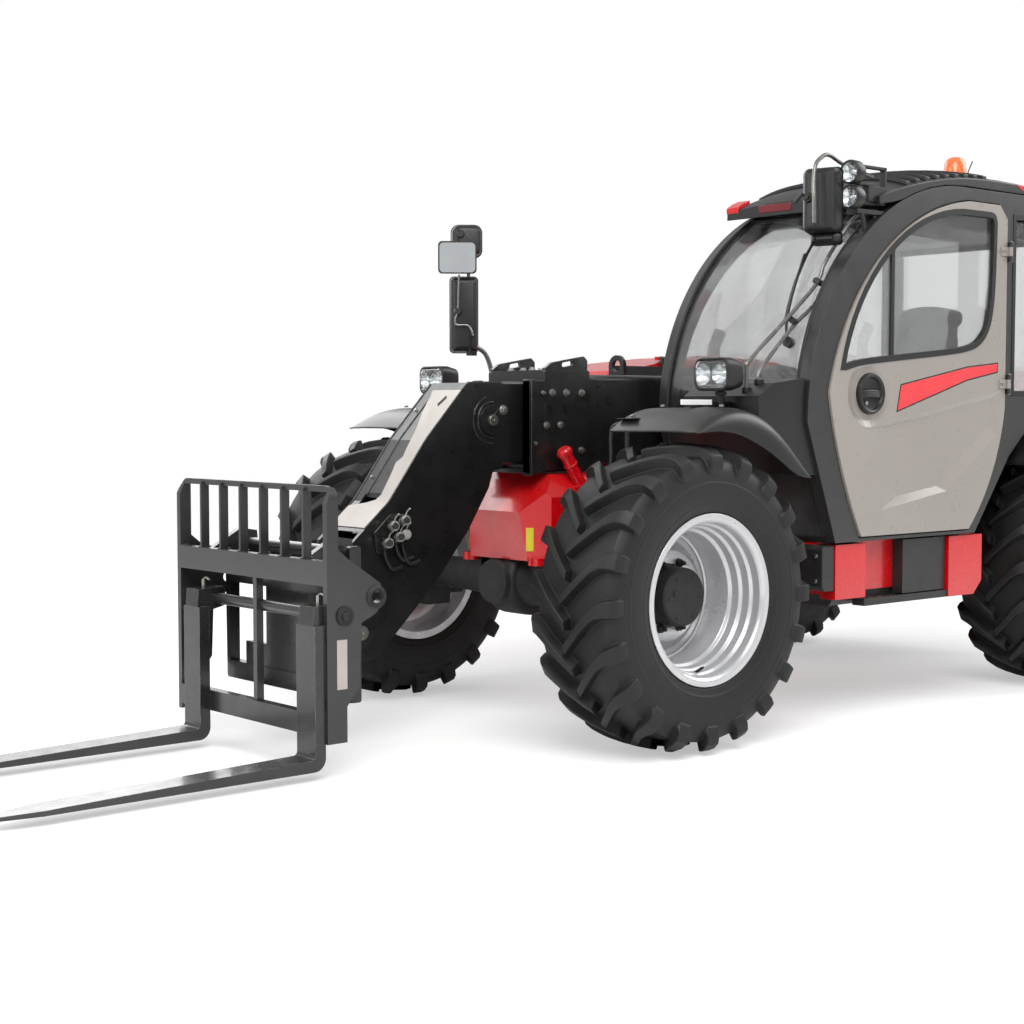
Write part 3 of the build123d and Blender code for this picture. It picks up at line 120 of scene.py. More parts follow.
def blendColour(tree, amount, first, second):
    # first and second are hex colours or colour sockets
    settings = {"data_type": "RGBA"}
    links = {"Factor": amount} if not isinstance(amount, float) else {}
    if isinstance(amount, float):
        settings["Factor"] = amount
    mixed = add(tree, "ShaderNodeMix", settings, links)
    for socket, colour in ((6, first), (7, second)):
        if isinstance(colour, str):
            mixed.inputs[socket].default_value = linear(colour)
        else:
            tree.links.new(colour, mixed.inputs[socket])
    return mixed.outputs[2]


def times(tree, a, b, how="MULTIPLY"):
    made = add(tree, "ShaderNodeMath", {"operation": how, "use_clamp": True})
    for socket, value in ((0, a), (1, b)):
        if isinstance(value, (int, float)):
            made.inputs[socket].default_value = value
        else:
            tree.links.new(value, made.inputs[socket])
    return made.outputs[0]


def edgeWear(tree, radiusMm):
    # 1 on edges, 0 on flats: where a rounded normal leaves the true one
    soft = add(tree, "ShaderNodeBevel", {"samples": 6, "Radius": radiusMm / 1000}).outputs[0]
    true = add(tree, "ShaderNodeNewGeometry").outputs["Normal"]
    dot = add(tree, "ShaderNodeVectorMath", {"operation": "DOT_PRODUCT"}, {0: soft, 1: true}).outputs["Value"]
    return spread(tree, dot, 0.99, 0.82)


def upward(tree):
    # 1 on faces that look up, where dust settles
    normal = add(tree, "ShaderNodeNewGeometry").outputs["Normal"]
    z = add(tree, "ShaderNodeSeparateXYZ", None, {0: normal}).outputs["Z"]
    return spread(tree, z, 0.35, 0.95)


def close(tree, shader):
    tree.links.new(shader.outputs[0], add(tree, "ShaderNodeOutputMaterial").inputs["Surface"])


def painted(name, recipe):
    # sprayed or powder-coated steel: even colour, a little orange peel, dust on top, thin wear on edges
    made, tree, place = newMaterial(name)
    tone = grain(tree, place, recipe["toneMm"], 2.0)
    colour = blendColour(tree, spread(tree, tone, 0.3, 0.7), recipe["base"], recipe["second"])
    dust = times(tree, upward(tree), spread(tree, grain(tree, place, 90, 6.0, 0.65), 0.42, 0.75))
    dust = times(tree, dust, recipe["dust"])
    colour = blendColour(tree, dust, colour, "#8C8578")
    worn = times(tree, edgeWear(tree, recipe["wearMm"]), spread(tree, grain(tree, place, 14, 5.0, 0.7), 0.40, 0.62))
    colour = blendColour(tree, times(tree, worn, recipe["wear"]), colour, recipe["worn"])
    rough = spread(tree, grain(tree, place, 35, 4.0), 0.3, 0.7, recipe["rough"] - 0.05, recipe["rough"] + 0.08)
    rough = times(tree, rough, times(tree, dust, 0.5), "ADD")
    peel = grain(tree, place, recipe["peelMm"], 2.0)
    soft = add(tree, "ShaderNodeBevel", {"samples": 4, "Radius": recipe.get("roundMm", 1.5) / 1000}).outputs[0]
    bump = add(tree, "ShaderNodeBump", {"Strength": recipe["peel"], "Distance": 0.0006}, {"Height": peel, "Normal": soft})
    shader = add(tree, "ShaderNodeBsdfPrincipled",
                 {"Metallic": recipe.get("metal", 0.0), "Coat Weight": recipe.get("coat", 0.0), "Coat Roughness": 0.12,
                  "Specular IOR Level": recipe.get("specular", 0.5)},
                 {"Base Color": colour, "Roughness": rough, "Normal": bump.outputs[0]})
    close(tree, shader)
    return made


def moulded(name, recipe):
    # moulded plastic or rubber with a fine leather-like grain, paler where it is rubbed
    made, tree, place = newMaterial(name)
    tone = grain(tree, place, recipe["toneMm"], 3.0)
    colour = blendColour(tree, spread(tree, tone, 0.3, 0.7), recipe["base"], recipe["second"])
    dust = times(tree, times(tree, upward(tree), spread(tree, grain(tree, place, 70, 6.0), 0.45, 0.8)), recipe["dust"])
    colour = blendColour(tree, dust, colour, "#7D766B")
    edge = times(tree, edgeWear(tree, 4.0), recipe["rub"])
    colour = blendColour(tree, edge, colour, recipe["worn"])
    cells = add(tree, "ShaderNodeTexVoronoi", {"Scale": 1000 / recipe["grainMm"]}, {"Vector": place}).outputs["Distance"]
    soft = add(tree, "ShaderNodeBevel", {"samples": 4, "Radius": recipe.get("roundMm", 2.5) / 1000}).outputs[0]
    bump = add(tree, "ShaderNodeBump", {"Strength": recipe["bump"], "Distance": 0.0008}, {"Height": cells, "Normal": soft})
    rough = spread(tree, tone, 0.3, 0.7, recipe["rough"] - 0.06, recipe["rough"] + 0.06)
    shader = add(tree, "ShaderNodeBsdfPrincipled", {"Specular IOR Level": recipe.get("specular", 0.4)},
                 {"Base Color": colour, "Roughness": rough, "Normal": bump.outputs[0]})
    close(tree, shader)
    return made


def bareMetal(name, recipe):
    # turned, drawn or plated metal: fine lines one way and faint handling marks
    made, tree, place = newMaterial(name)
    lines = grain(tree, place, recipe["lineMm"], 2.0, 0.5, recipe.get("stretch"))
    blot = grain(tree, place, 60, 4.0)
    colour = blendColour(tree, spread(tree, blot, 0.35, 0.7), recipe["base"], recipe["second"])
    rough = spread(tree, lines, 0.3, 0.7, recipe["rough"] - 0.04, recipe["rough"] + 0.08)
    bump = add(tree, "ShaderNodeBump", {"Strength": recipe["bump"], "Distance": 0.0003}, {"Height": lines})
    shader = add(tree, "ShaderNodeBsdfPrincipled", {"Metallic": 1.0},
                 {"Base Color": colour, "Roughness": rough, "Normal": bump.outputs[0]})
    close(tree, shader)
    return made


def clearSheet(name, recipe):
    # toughened glass or clear polycarbonate, smudged a little
    made, tree, place = newMaterial(name)
    smudge = grain(tree, place, 180, 5.0, 0.6)
    rough = spread(tree, smudge, 0.45, 0.8, recipe["rough"], recipe["rough"] + 0.05)
    shader = add(tree, "ShaderNodeBsdfPrincipled",
                 {"Base Color": linear(recipe["base"]), "IOR": recipe["ior"], "Transmission Weight": recipe["through"],
                  "Alpha": recipe.get("alpha", 1.0)},
                 {"Roughness": rough})
    close(tree, shader)
    return made


# powder-coated boom steel: satin black that still mirrors the sky a little
boomBlack = painted("powder_coated_steel_satin_black", {
    "base": "#0F0F0F", "second": "#141414", "toneMm": 300, "dust": 0.06, "wear": 0.35, "worn": "#3C3B3A",
    "wearMm": 3, "rough": 0.30, "peelMm": 4, "peel": 0.25, "coat": 0.25})
# sprayed dark grey machine steel of the carriage: a shade lighter than the boom
carriageGrey = painted("sprayed_steel_dark_grey", {
    "base": "#202020", "second": "#272727", "toneMm": 220, "dust": 0.08, "wear": 0.4, "worn": "#55534F",
    "wearMm": 4, "rough": 0.34, "peelMm": 4, "peel": 0.25, "coat": 0.3})
# forged fork steel, painted and rubbed bright by loads
forkSteel = painted("forged_steel_rubbed_grey", {
    "base": "#242424", "second": "#303030", "toneMm": 160, "dust": 0.08, "wear": 0.7, "worn": "#8A8884",
    "wearMm": 5, "rough": 0.28, "peelMm": 6, "peel": 0.3, "metal": 0.3, "coat": 0.3})
# gloss red chassis enamel
enamelRed = painted("gloss_enamel_red", {
    "base": "#C4000A", "second": "#B40008", "toneMm": 260, "dust": 0.12, "wear": 0.35, "worn": "#6A1A14",
    "wearMm": 3, "rough": 0.28, "peelMm": 5, "peel": 0.2, "coat": 0.5})
# warm light grey door enamel
doorGrey = painted("gloss_enamel_warm_grey", {
    "base": "#8E8882", "second": "#89837D", "toneMm": 320, "dust": 0.05, "wear": 0.10, "worn": "#77716B",
    "wearMm": 2, "rough": 0.30, "peelMm": 5, "peel": 0.12, "coat": 0.4})
# dark grey cab shell, sprayed satin
cabGrey = painted("satin_lacquer_dark_grey", {
    "base": "#232222", "second": "#292828", "toneMm": 260, "dust": 0.06, "wear": 0.12, "worn": "#4A4846",
    "wearMm": 3, "rough": 0.34, "peelMm": 4, "peel": 0.15, "roundMm": 5, "coat": 0.2})
# black engine box steel
boxBlack = painted("sprayed_steel_black", {
    "base": "#1C1C1C", "second": "#232222", "toneMm": 260, "dust": 0.16, "wear": 0.3, "worn": "#4A4846",
    "wearMm": 3, "rough": 0.45, "peelMm": 4, "peel": 0.25})
# sand-cast iron under black paint: pebbly and dull
castIron = painted("sand_cast_iron_black", {
    "base": "#131212", "second": "#1C1B1A", "toneMm": 120, "dust": 0.15, "wear": 0.3, "worn": "#4B4540",
    "wearMm": 4, "rough": 0.62, "peelMm": 7, "peel": 0.9, "roundMm": 4})
# aluminium-coloured wheel lacquer with fine flake
wheelSilver = painted("wheel_lacquer_silver", {
    "base": "#C6C6C8", "second": "#BABBBD", "toneMm": 140, "dust": 0.12, "wear": 0.1, "worn": "#8A8A8A",
    "wearMm": 2, "rough": 0.30, "peelMm": 2, "peel": 0.08, "metal": 0.55})
# heat-tinted exhaust steel
exhaustSteel = painted("heat_tinted_steel", {
    "base": "#3B3532", "second": "#544A43", "toneMm": 60, "dust": 0.2, "wear": 0.3, "worn": "#7A6A5C",
    "wearMm": 3, "rough": 0.5, "peelMm": 3, "peel": 0.3, "metal": 0.7})
# polyethylene fenders, grained in the mould
fenderPlastic = moulded("moulded_polyethylene_black", {
    "base": "#161616", "second": "#1C1C1C", "toneMm": 200, "dust": 0.12, "rub": 0.3, "worn": "#4D4C4A",
    "grainMm": 3.0, "bump": 0.2, "rough": 0.40})
# ABS trim of roof, mirrors and dashboard
trimPlastic = moulded("moulded_abs_black", {
    "base": "#161616", "second": "#1C1C1C", "toneMm": 150, "dust": 0.12, "rub": 0.25, "worn": "#454443",
    "grainMm": 2.2, "bump": 0.2, "rough": 0.42})
# vulcanised tyre rubber, dry and slightly brown in the grooves
tyreRubber = moulded("vulcanised_rubber_tyre", {
    "base": "#0D0D0D", "second": "#131312", "toneMm": 45, "dust": 0.05, "rub": 0.35, "worn": "#262524",
    "grainMm": 5.0, "bump": 0.2, "rough": 0.55, "specular": 0.4, "roundMm": 4})
# extruded seal and hose rubber
sealRubber = moulded("extruded_rubber_black", {
    "base": "#111111", "second": "#171717", "toneMm": 50, "dust": 0.05, "rub": 0.15, "worn": "#2E2D2C",
    "grainMm": 1.8, "bump": 0.15, "rough": 0.55})
# woven seat cloth on foam
seatCloth = moulded("woven_polyester_dark_grey", {
    "base": "#353535", "second": "#3F3E3D", "toneMm": 25, "dust": 0.05, "rub": 0.2, "worn": "#5A5856",
    "grainMm": 4.0, "bump": 0.8, "rough": 0.86, "specular": 0.15})
# hard chrome on the rams' rods: a mirror with faint lines round it
hardChrome = bareMetal("hard_chrome_ground", {
    "base": "#D9DADB", "second": "#CBCCCE", "lineMm": 1.5, "rough": 0.10, "bump": 0.05})
# zinc-plated bolts and couplers
zincPlate = bareMetal("zinc_plated_steel", {
    "base": "#A9A8A4", "second": "#8E8C86", "lineMm": 2.0, "rough": 0.30, "bump": 0.2})
# silvered mirror glass
mirrorGlass = bareMetal("silvered_glass", {
    "base": "#E4E7E9", "second": "#DADFE2", "lineMm": 90, "rough": 0.05, "bump": 0.0})
# grey-tinted toughened cab glass
cabGlass = clearSheet("toughened_glass_grey_tint", {
    "base": "#CED3D3", "ior": 1.5, "through": 1.0, "rough": 0.0, "alpha": 0.36})
# clear polycarbonate lamp lens
lampLens = clearSheet("clear_polycarbonate", {
    "base": "#F4F6F6", "ior": 1.55, "through": 1.0, "rough": 0.02, "alpha": 0.55})
# orange polycarbonate of the beacon
beaconLens = clearSheet("orange_polycarbonate", {
    "base": "#F58040", "ior": 1.55, "through": 0.35, "rough": 0.18})
# red tail lamp lens
tailLens = clearSheet("red_polycarbonate", {
    "base": "#B4141A", "ior": 1.55, "through": 0.3, "rough": 0.12})
# pale grey enamel of the wear plate on the boom head
stripGrey = painted("sprayed_enamel_pale_grey", {
    "base": "#A7A19B", "second": "#9D9791", "toneMm": 120, "dust": 0.08, "wear": 0.5, "worn": "#6E6963",
    "wearMm": 3, "rough": 0.36, "peelMm": 5, "peel": 0.2})
# tube of the mirror stays, which is black: its mid grey metallic colour is painted highlight, the sheen along the tube
tubeHighlightGrey = painted("black_tube_painted_highlight_grey", {
    "base": "#6B6966", "second": "#777572", "toneMm": 40, "dust": 0.03, "wear": 0.4, "worn": "#A9A6A2",
    "wearMm": 2, "rough": 0.24, "peelMm": 3, "peel": 0.15, "metal": 0.6})
# reflective film plates, left blank
plateYellow = painted("reflective_film_yellow", {
    "base": "#CDBE08", "second": "#C2B206", "toneMm": 20, "dust": 0.05, "wear": 0.1, "worn": "#9E9320",
    "wearMm": 1, "rough": 0.35, "peelMm": 2, "peel": 0.15, "coat": 0.3})
plateGrey = painted("brushed_alloy_plate", {
    "base": "#A39C96", "second": "#B0AAA4", "toneMm": 60, "dust": 0.05, "wear": 0.3, "worn": "#7C7772",
    "wearMm": 2, "rough": 0.34, "peelMm": 3, "peel": 0.2, "metal": 0.3})
plateWhite = painted("reflective_film_white", {
    "base": "#F2F2F0", "second": "#E6E6E4", "toneMm": 30, "dust": 0.05, "wear": 0.1, "worn": "#BBBAB6",
    "wearMm": 1, "rough": 0.35, "peelMm": 2, "peel": 0.15})
# dark red reflector moulding
reflectorRed = moulded("moulded_acrylic_dark_red", {
    "base": "#5E1216", "second": "#6A161A", "toneMm": 60, "dust": 0.1, "rub": 0.1, "worn": "#8A3034",
    "grainMm": 3.0, "bump": 0.1, "rough": 0.25, "specular": 0.5})
stripeRed = painted("vinyl_film_red", {
    "base": "#D8333A", "second": "#CF2C33", "toneMm": 120, "dust": 0.03, "wear": 0.0, "worn": "#8A2226",
    "wearMm": 1, "rough": 0.32, "peelMm": 6, "peel": 0.1, "coat": 0.3})
print("materials made")


# ------------------------------------------------- shapes

def addBox(bm, low, high):
    made = bmesh.ops.create_cube(bm, size=1.0)["verts"]
    for v in made:
        v.co = Vector([(l + h) / 2 + c * (h - l) for l, h, c in zip(low, high, v.co)])
    return made


def addRound(bm, centre, axis, radius, depth, sides=24, endRadius=None):
    # a turned bar about axis, centred on centre
    turn = Vector(axis).normalized().to_track_quat("Z", "Y").to_matrix().to_4x4()
    place = Matrix.Translation(centre) @ turn
    return bmesh.ops.create_cone(bm, cap_ends=True, segments=sides, radius1=radius,
                                 radius2=radius if endRadius is None else endRadius, depth=depth, matrix=place)["verts"]


def addNut(bm, centre, axis, flats, height):
    # a flanged hex nut, chamfered, standing on centre
    axis = Vector(axis).normalized()
    addRound(bm, Vector(centre) + axis * height * 0.1, axis, flats * 0.66, height * 0.2, 20)
    addRound(bm, Vector(centre) + axis * height * 0.5, axis, flats / sqrt(3), height * 0.6, 6)
    addRound(bm, Vector(centre) + axis * height * 0.86, axis, flats / sqrt(3), height * 0.14, 6, flats * 0.46)


def addPrism(bm, outline, y0, y1):
    # an outline in x and z, solid from y0 to y1
    near = [bm.verts.new((x, y0, z)) for x, z in outline]
    far = [bm.verts.new((x, y1, z)) for x, z in outline]
    faces = [bm.faces.new(near), bm.faces.new(list(reversed(far)))]
    for i in range(len(outline)):
        j = (i + 1) % len(outline)
        faces.append(bm.faces.new((near[j], near[i], far[i], far[j])))
    bmesh.ops.recalc_face_normals(bm, faces=faces)
    return near + far


def addTurned(bm, centre, profile, segments=64, flip=1):
    # a profile of (way out, radius) turned about y through centre
    rings = []
    for out, radius in profile:
        ring = []
        for k in range(segments):
            a = 2 * pi * k / segments
            ring.append(bm.verts.new((centre[0] + radius * cos(a), centre[1] + flip * out, centre[2] + radius * sin(a))))
        rings.append(ring)
    faces = []
    for a, b in zip(rings, rings[1:]):
        for k in range(segments):
            j = (k + 1) % segments
            faces.append(bm.faces.new((a[k], a[j], b[j], b[k])))
    return rings, faces


def addTube(bm, points, radius, sides=12):
    # a round bar through the points
    points = [Vector(p) for p in points]
    rings = []
    side = None
    for i, p in enumerate(points):
        before = points[max(i - 1, 0)]
        after = points[min(i + 1, len(points) - 1)]
        along = (after - before).normalized()
        if side is None:
            side = along.orthogonal().normalized()
        side = (side - along * side.dot(along)).normalized()
        up = along.cross(side)
        rings.append([bm.verts.new(p + side * radius * cos(2 * pi * k / sides) + up * radius * sin(2 * pi * k / sides))
                      for k in range(sides)])
    for a, b in zip(rings, rings[1:]):
        for k in range(sides):
            j = (k + 1) % sides
            bm.faces.new((a[k], a[j], b[j], b[k]))
    bm.faces.new(list(reversed(rings[0])))
    bm.faces.new(rings[-1])
    return rings


def smoothPath(points, steps=6):
    # the points joined by an even curve through them
    points = [Vector(p) for p in points]
    out = []
    for i in range(len(points) - 1):
        a = points[max(i - 1, 0)]
        b, c = points[i], points[i + 1]
        d = points[min(i + 2, len(points) - 1)]
        for k in range(steps):
            t = k / steps
            out.append(0.5 * ((2 * b) + (c - a) * t + (2 * a - 5 * b + 4 * c - d) * t * t
                              + (3 * b - a - 3 * c + d) * t ** 3))
    out.append(points[-1])
    return out


def roundedLoop(width, height, corner, steps=6):
    points = []
    for cx, cz, start in ((1, 1, 0), (-1, 1, 90), (-1, -1, 180), (1, -1, 270)):
        for k in range(steps + 1):
            a = radians(start + 90 * k / steps)
            points.append((cx * (width / 2 - corner) + corner * cos(a), cz * (height / 2 - corner) + corner * sin(a)))
    return points


def addLoops(bm, loops, capStart=True, capEnd=True):
    rings = [[bm.verts.new(p) for p in loop] for loop in loops]
    for a, b in zip(rings, rings[1:]):
        for i in range(len(a)):
            j = (i + 1) % len(a)
            bm.faces.new((a[i], a[j], b[j], b[i]))
    if capStart:
        bm.faces.new(list(reversed(rings[0])))
    if capEnd:
        bm.faces.new(rings[-1])
    return rings


def finishPiece(bm, name, material, body, bevelMm=0.0, segments=2, sharpDeg=32):
    bmesh.ops.recalc_face_normals(bm, faces=bm.faces[:])
    for face in bm.faces:
        face.smooth = True
    for edge in bm.edges:
        edge.smooth = len(edge.link_faces) == 2 and edge.calc_face_angle(0) < radians(sharpDeg)
    mesh = bpy.data.meshes.new(name)
    bm.to_mesh(mesh)
    bm.free()
    piece = bpy.data.objects.new(name, mesh)
    bpy.context.scene.collection.objects.link(piece)
    mesh.materials.append(material)
    if bevelMm:
        soft = piece.modifiers.new("edges", "BEVEL")
        soft.width = bevelMm / 1000
        soft.segments = segments
        soft.limit_method = "ANGLE"
        soft.angle_limit = radians(sharpDeg)
    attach(piece, body)
    return piece


def dress(material, *names):
    # give CAD nodes a material
    for name in names:
        mesh = nodes[name].data
        for i in range(len(mesh.materials)):
            mesh.materials[i] = material
        if not mesh.materials:
            mesh.materials.append(material)


# ------------------------------------------------- camera and light

cameraPlan = {"place": (4.88, 5.65, 1.33), "yawDeg": -130.5, "pitchDeg": -3.35, "lensMm": 61.0}
eye = at(*cameraPlan["place"])
yaw, pitch = radians(cameraPlan["yawDeg"]), radians(cameraPlan["pitchDeg"])
sight = Vector((cos(yaw) * cos(pitch), sin(yaw) * cos(pitch), sin(pitch)))
camera = bpy.data.objects.new("camera", bpy.data.cameras.new("camera"))
camera.location = eye
camera.rotation_euler = sight.to_track_quat("-Z", "Y").to_euler()
camera.data.lens = cameraPlan["lensMm"]
camera.data.sensor_width = 36.0
camera.data.clip_end = 200.0
bpy.context.scene.collection.objects.link(camera)
bpy.context.scene.camera = camera

lamps = {  # place, size in metres, power in watts
    "key": ((4.0, 5.0, 6.5), 5.0, 620),
    "front": ((8.0, -2.5, 4.5), 5.0, 260),
    "back": ((-7.0, 3.0, 6.0), 5.0, 420),
    "right": ((-1.0, -8.0, 5.0), 6.0, 380),
}
for name, (place, size, power) in lamps.items():
    light = bpy.data.lights.new(name, "AREA")
    light.size = size
    light.energy = power
    lamp = bpy.data.objects.new(name, light)
    lamp.location = place
    lamp.rotation_euler = (Vector((-0.8, 0.0, 0.8)) - Vector(place)).to_track_quat("-Z", "Y").to_euler()
    bpy.context.scene.collection.objects.link(lamp)

world = bpy.data.worlds.new("studio")
world.use_nodes = True
tree = world.node_tree
tree.nodes.clear()
ray = add(tree, "ShaderNodeLightPath")
seen = add(tree, "ShaderNodeMath", {"operation": "MAXIMUM"}, {0: ray.outputs["Is Camera Ray"],
                                                             1: ray.outputs["Is Transmission Ray"]}).outputs[0]
fill = add(tree, "ShaderNodeBackground", {"Color": linear("#FFFFFF"), "Strength": 0.62})
white = add(tree, "ShaderNodeBackground", {"Color": linear("#FFFFFF"), "Strength": 1.0})
mixed = add(tree, "ShaderNodeMixShader", None, {0: seen, 1: fill.outputs[0], 2: white.outputs[0]})
tree.links.new(mixed.outputs[0], add(tree, "ShaderNodeOutputWorld").inputs["Surface"])
bpy.context.scene.world = world
bpy.context.scene.view_settings.view_transform = "Standard"

floorMaterial, tree, place = newMaterial("painted_studio_floor")
floorTone = blendColour(tree, spread(tree, grain(tree, place, 900, 3.0), 0.35, 0.65), "#F6F6F5", "#FAFAFA")
matt = add(tree, "ShaderNodeBsdfDiffuse", {"Roughness": 0.4}, {"Color": floorTone})
glow = add(tree, "ShaderNodeEmission", {"Color": linear("#FFFFFF"), "Strength": 1.0})
ray = add(tree, "ShaderNodeLightPath")
far = add(tree, "ShaderNodeVectorMath", {"operation": "LENGTH"}, {0: place}).outputs["Value"]
fade = spread(tree, far, 4.0, 9.0, 0.45, 1.0)
seen = times(tree, ray.outputs["Is Camera Ray"], fade)
close(tree, add(tree, "ShaderNodeMixShader", None, {0: seen, 1: matt.outputs[0], 2: glow.outputs[0]}))
bm = bmesh.new()
bmesh.ops.create_grid(bm, x_segments=8, y_segments=8, size=40.0)
for v in bm.verts:
    v.co.z = cadBox[0][2] - 0.0005
mesh = bpy.data.meshes.new("floor")
bm.to_mesh(mesh)
bm.free()
mesh.materials.append(floorMaterial)
floor = bpy.data.objects.new("floor", mesh)
bpy.context.scene.collection.objects.link(floor)
print("camera and light set")


# ------------------------------------------------- CAD nodes that keep their own shape

dress(boomBlack, "outer_boom", "boom_collar", "inner_boom", "boom_head", "tool_carrier")
dress(carriageGrey, "fork_carriage")
dress(forkSteel, "forks")
dress(boxBlack, "lift_barrel", "tilt_barrel", "engine_bay", "cab_step", "fuel_tank", "seat_base")
dress(hardChrome, "lift_rod", "tilt_rod")
dress(enamelRed, "chassis_frame", "chassis_nose", "chassis_floors", "cross_beams", "side_boxes", "engine_hood")
dress(castIron, "front_axle", "rear_axle", "counterweight", "gearbox_and_shafts", "engine_block",
      "front_left_knuckle", "front_right_knuckle", "rear_left_knuckle", "rear_right_knuckle")
dress(zincPlate, "front_steering_rod", "rear_steering_rod")
dress(cabGrey, "cab_frame", "cab_panels")
dress(doorGrey, "door_panel")
dress(cabGlass, "cab_glass", "door_glass")
dress(trimPlastic, "cab_roof", "door_handle", "dashboard", "steering_wheel", "mirrors", "lamps", "beacon")
dress(fenderPlastic, "front_fenders", "rear_fenders", "front_cowl")
dress(exhaustSteel, "exhaust")
dress(seatCloth, "seat_cushion", "seat_backrest")
print("CAD nodes dressed")


# ------------------------------------------------- tyres

tyrePlan = {
    # way out from the tyre's middle, radius
    "carcass": [(0.188, 0.306), (0.190, 0.336), (0.197, 0.341), (0.199, 0.352), (0.206, 0.366), (0.212, 0.395),
                (0.2145, 0.430), (0.213, 0.470), (0.208, 0.500), (0.197, 0.528), (0.178, 0.548), (0.120, 0.556),
                (0.0, 0.560)],
    # way out, turn in degrees, outer radius, half width on top, half width at the foot, foot radius
    "lug": [(-0.010, -0.6, 0.6020, 0.017, 0.026, 0.550), (0.035, 3.4, 0.6020, 0.018, 0.028, 0.550),
            (0.085, 8.0, 0.6000, 0.019, 0.030, 0.548), (0.130, 12.2, 0.5960, 0.021, 0.033, 0.545),
            (0.165, 14.6, 0.5890, 0.025, 0.038, 0.538), (0.196, 15.4, 0.5770, 0.029, 0.041, 0.520),
            (0.217, 15.6, 0.5560, 0.031, 0.042, 0.498), (0.224, 15.7, 0.5240, 0.031, 0.040, 0.478),
            (0.217, 15.7, 0.4880, 0.026, 0.034, 0.462)],
    "perSide": 20, "segments": 120, "softMm": 4.5}


def onTyre(centre, side, out, turn, radius, along=0.0):
    # along is measured round the tyre at that radius
    a = radians(turn) + along / radius
    return (centre[0] + radius * cos(a), centre[1] + side * out, centre[2] + radius * sin(a))


def addLug(bm, centre, side, start):
    # a chevron bar from just past the middle out over the shoulder
    rings = []
    for out, turn, top, halfTop, halfFoot, foot in tyrePlan["lug"]:
        if top < 0.55:
            inner = out - 0.030
        else:
            inner = min(out, 0.185)
        rings.append([bm.verts.new(p) for p in (
            onTyre(centre, side, inner, start + turn, foot, -halfFoot),
            onTyre(centre, side, out, start + turn, top, -halfTop),
            onTyre(centre, side, out, start + turn, top, halfTop),
            onTyre(centre, side, inner, start + turn, foot, halfFoot))])
    for a, b in zip(rings, rings[1:]):
        for k in range(4):
            j = (k + 1) % 4
            bm.faces.new((a[k], a[j], b[j], b[k]))
    bm.faces.new(list(reversed(rings[0])))
    bm.faces.new(rings[-1])


def makeTyre(name):
    centre = middle(name + "_tyre")
    bm = bmesh.new()
    half = tyrePlan["carcass"]
    profile = half + [(-out, radius) for out, radius in reversed(half[:-1])]
    addTurned(bm, centre, profile, tyrePlan["segments"])
    pitch = 360 / tyrePlan["perSide"]
    for side in (1, -1):
        for k in range(tyrePlan["perSide"]):
            addLug(bm, centre, side, pitch * (k + (0.5 if side < 0 else 0.0)) + 3)
    # two thin rings on each side wall
    for side in (1, -1):
        for radius, out in ((0.372, 0.2070), (0.452, 0.2136)):
            ring = [(out - 0.004, radius - 0.006), (out + 0.0015, radius - 0.003), (out + 0.0015, radius + 0.003),
                    (out - 0.004, radius + 0.006)]
            addTurned(bm, centre, ring, tyrePlan["segments"], side)
    piece = finishPiece(bm, name + "_tyre_tread", tyreRubber, name + "_road_wheel",
                        tyrePlan["softMm"], 2, 28)
    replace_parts(piece, name + "_tyre")


# ------------------------------------------------- wheels

wheelPlan = {
    # closed section of the rolled rim: way out, radius
    "rim": [(0.198, 0.334), (0.191, 0.334), (0.190, 0.310), (0.184, 0.305), (0.152, 0.305), (0.141, 0.294),
            (0.106, 0.294), (0.096, 0.282), (0.061, 0.282), (0.050, 0.268), (-0.090, 0.268), (-0.120, 0.305),
            (-0.190, 0.305), (-0.190, 0.332), (-0.198, 0.332), (-0.198, 0.297), (-0.116, 0.296), (-0.086, 0.259),
            (0.046, 0.259), (0.056, 0.273), (0.091, 0.273), (0.101, 0.285), (0.136, 0.285), (0.146, 0.296),
            (0.180, 0.296), (0.190, 0.301), (0.198, 0.312)],
    # pressed disc, closed
    "disc": [(-0.030, 0.128), (-0.030, 0.172), (-0.034, 0.181), (-0.068, 0.210), (-0.076, 0.224), (-0.078, 0.262),
             (-0.092, 0.262), (-0.090, 0.218), (-0.083, 0.204), (-0.048, 0.176), (-0.044, 0.166), (-0.044, 0.090)],
    # hub and cap, open at its back
    "hub": [(-0.075, 0.095), (-0.046, 0.096), (-0.044, 0.124), (-0.026, 0.127), (-0.020, 0.122), (0.004, 0.119),
            (0.006, 0.116), (0.010, 0.116), (0.012, 0.118), (0.050, 0.115), (0.058, 0.108), (0.062, 0.096),
            (0.062, 0.020), (0.059, 0.017), (0.059, 0.0005)],
    "nutCircle": 0.1375, "nuts": 8, "segments": 112}


def ringUp(faces, bm, rings):
    # join the last ring of a section to its first
    count = len(rings[0])
    for k in range(count):
        j = (k + 1) % count
        bm.faces.new((rings[-1][k], rings[-1][j], rings[0][j], rings[0][k]))


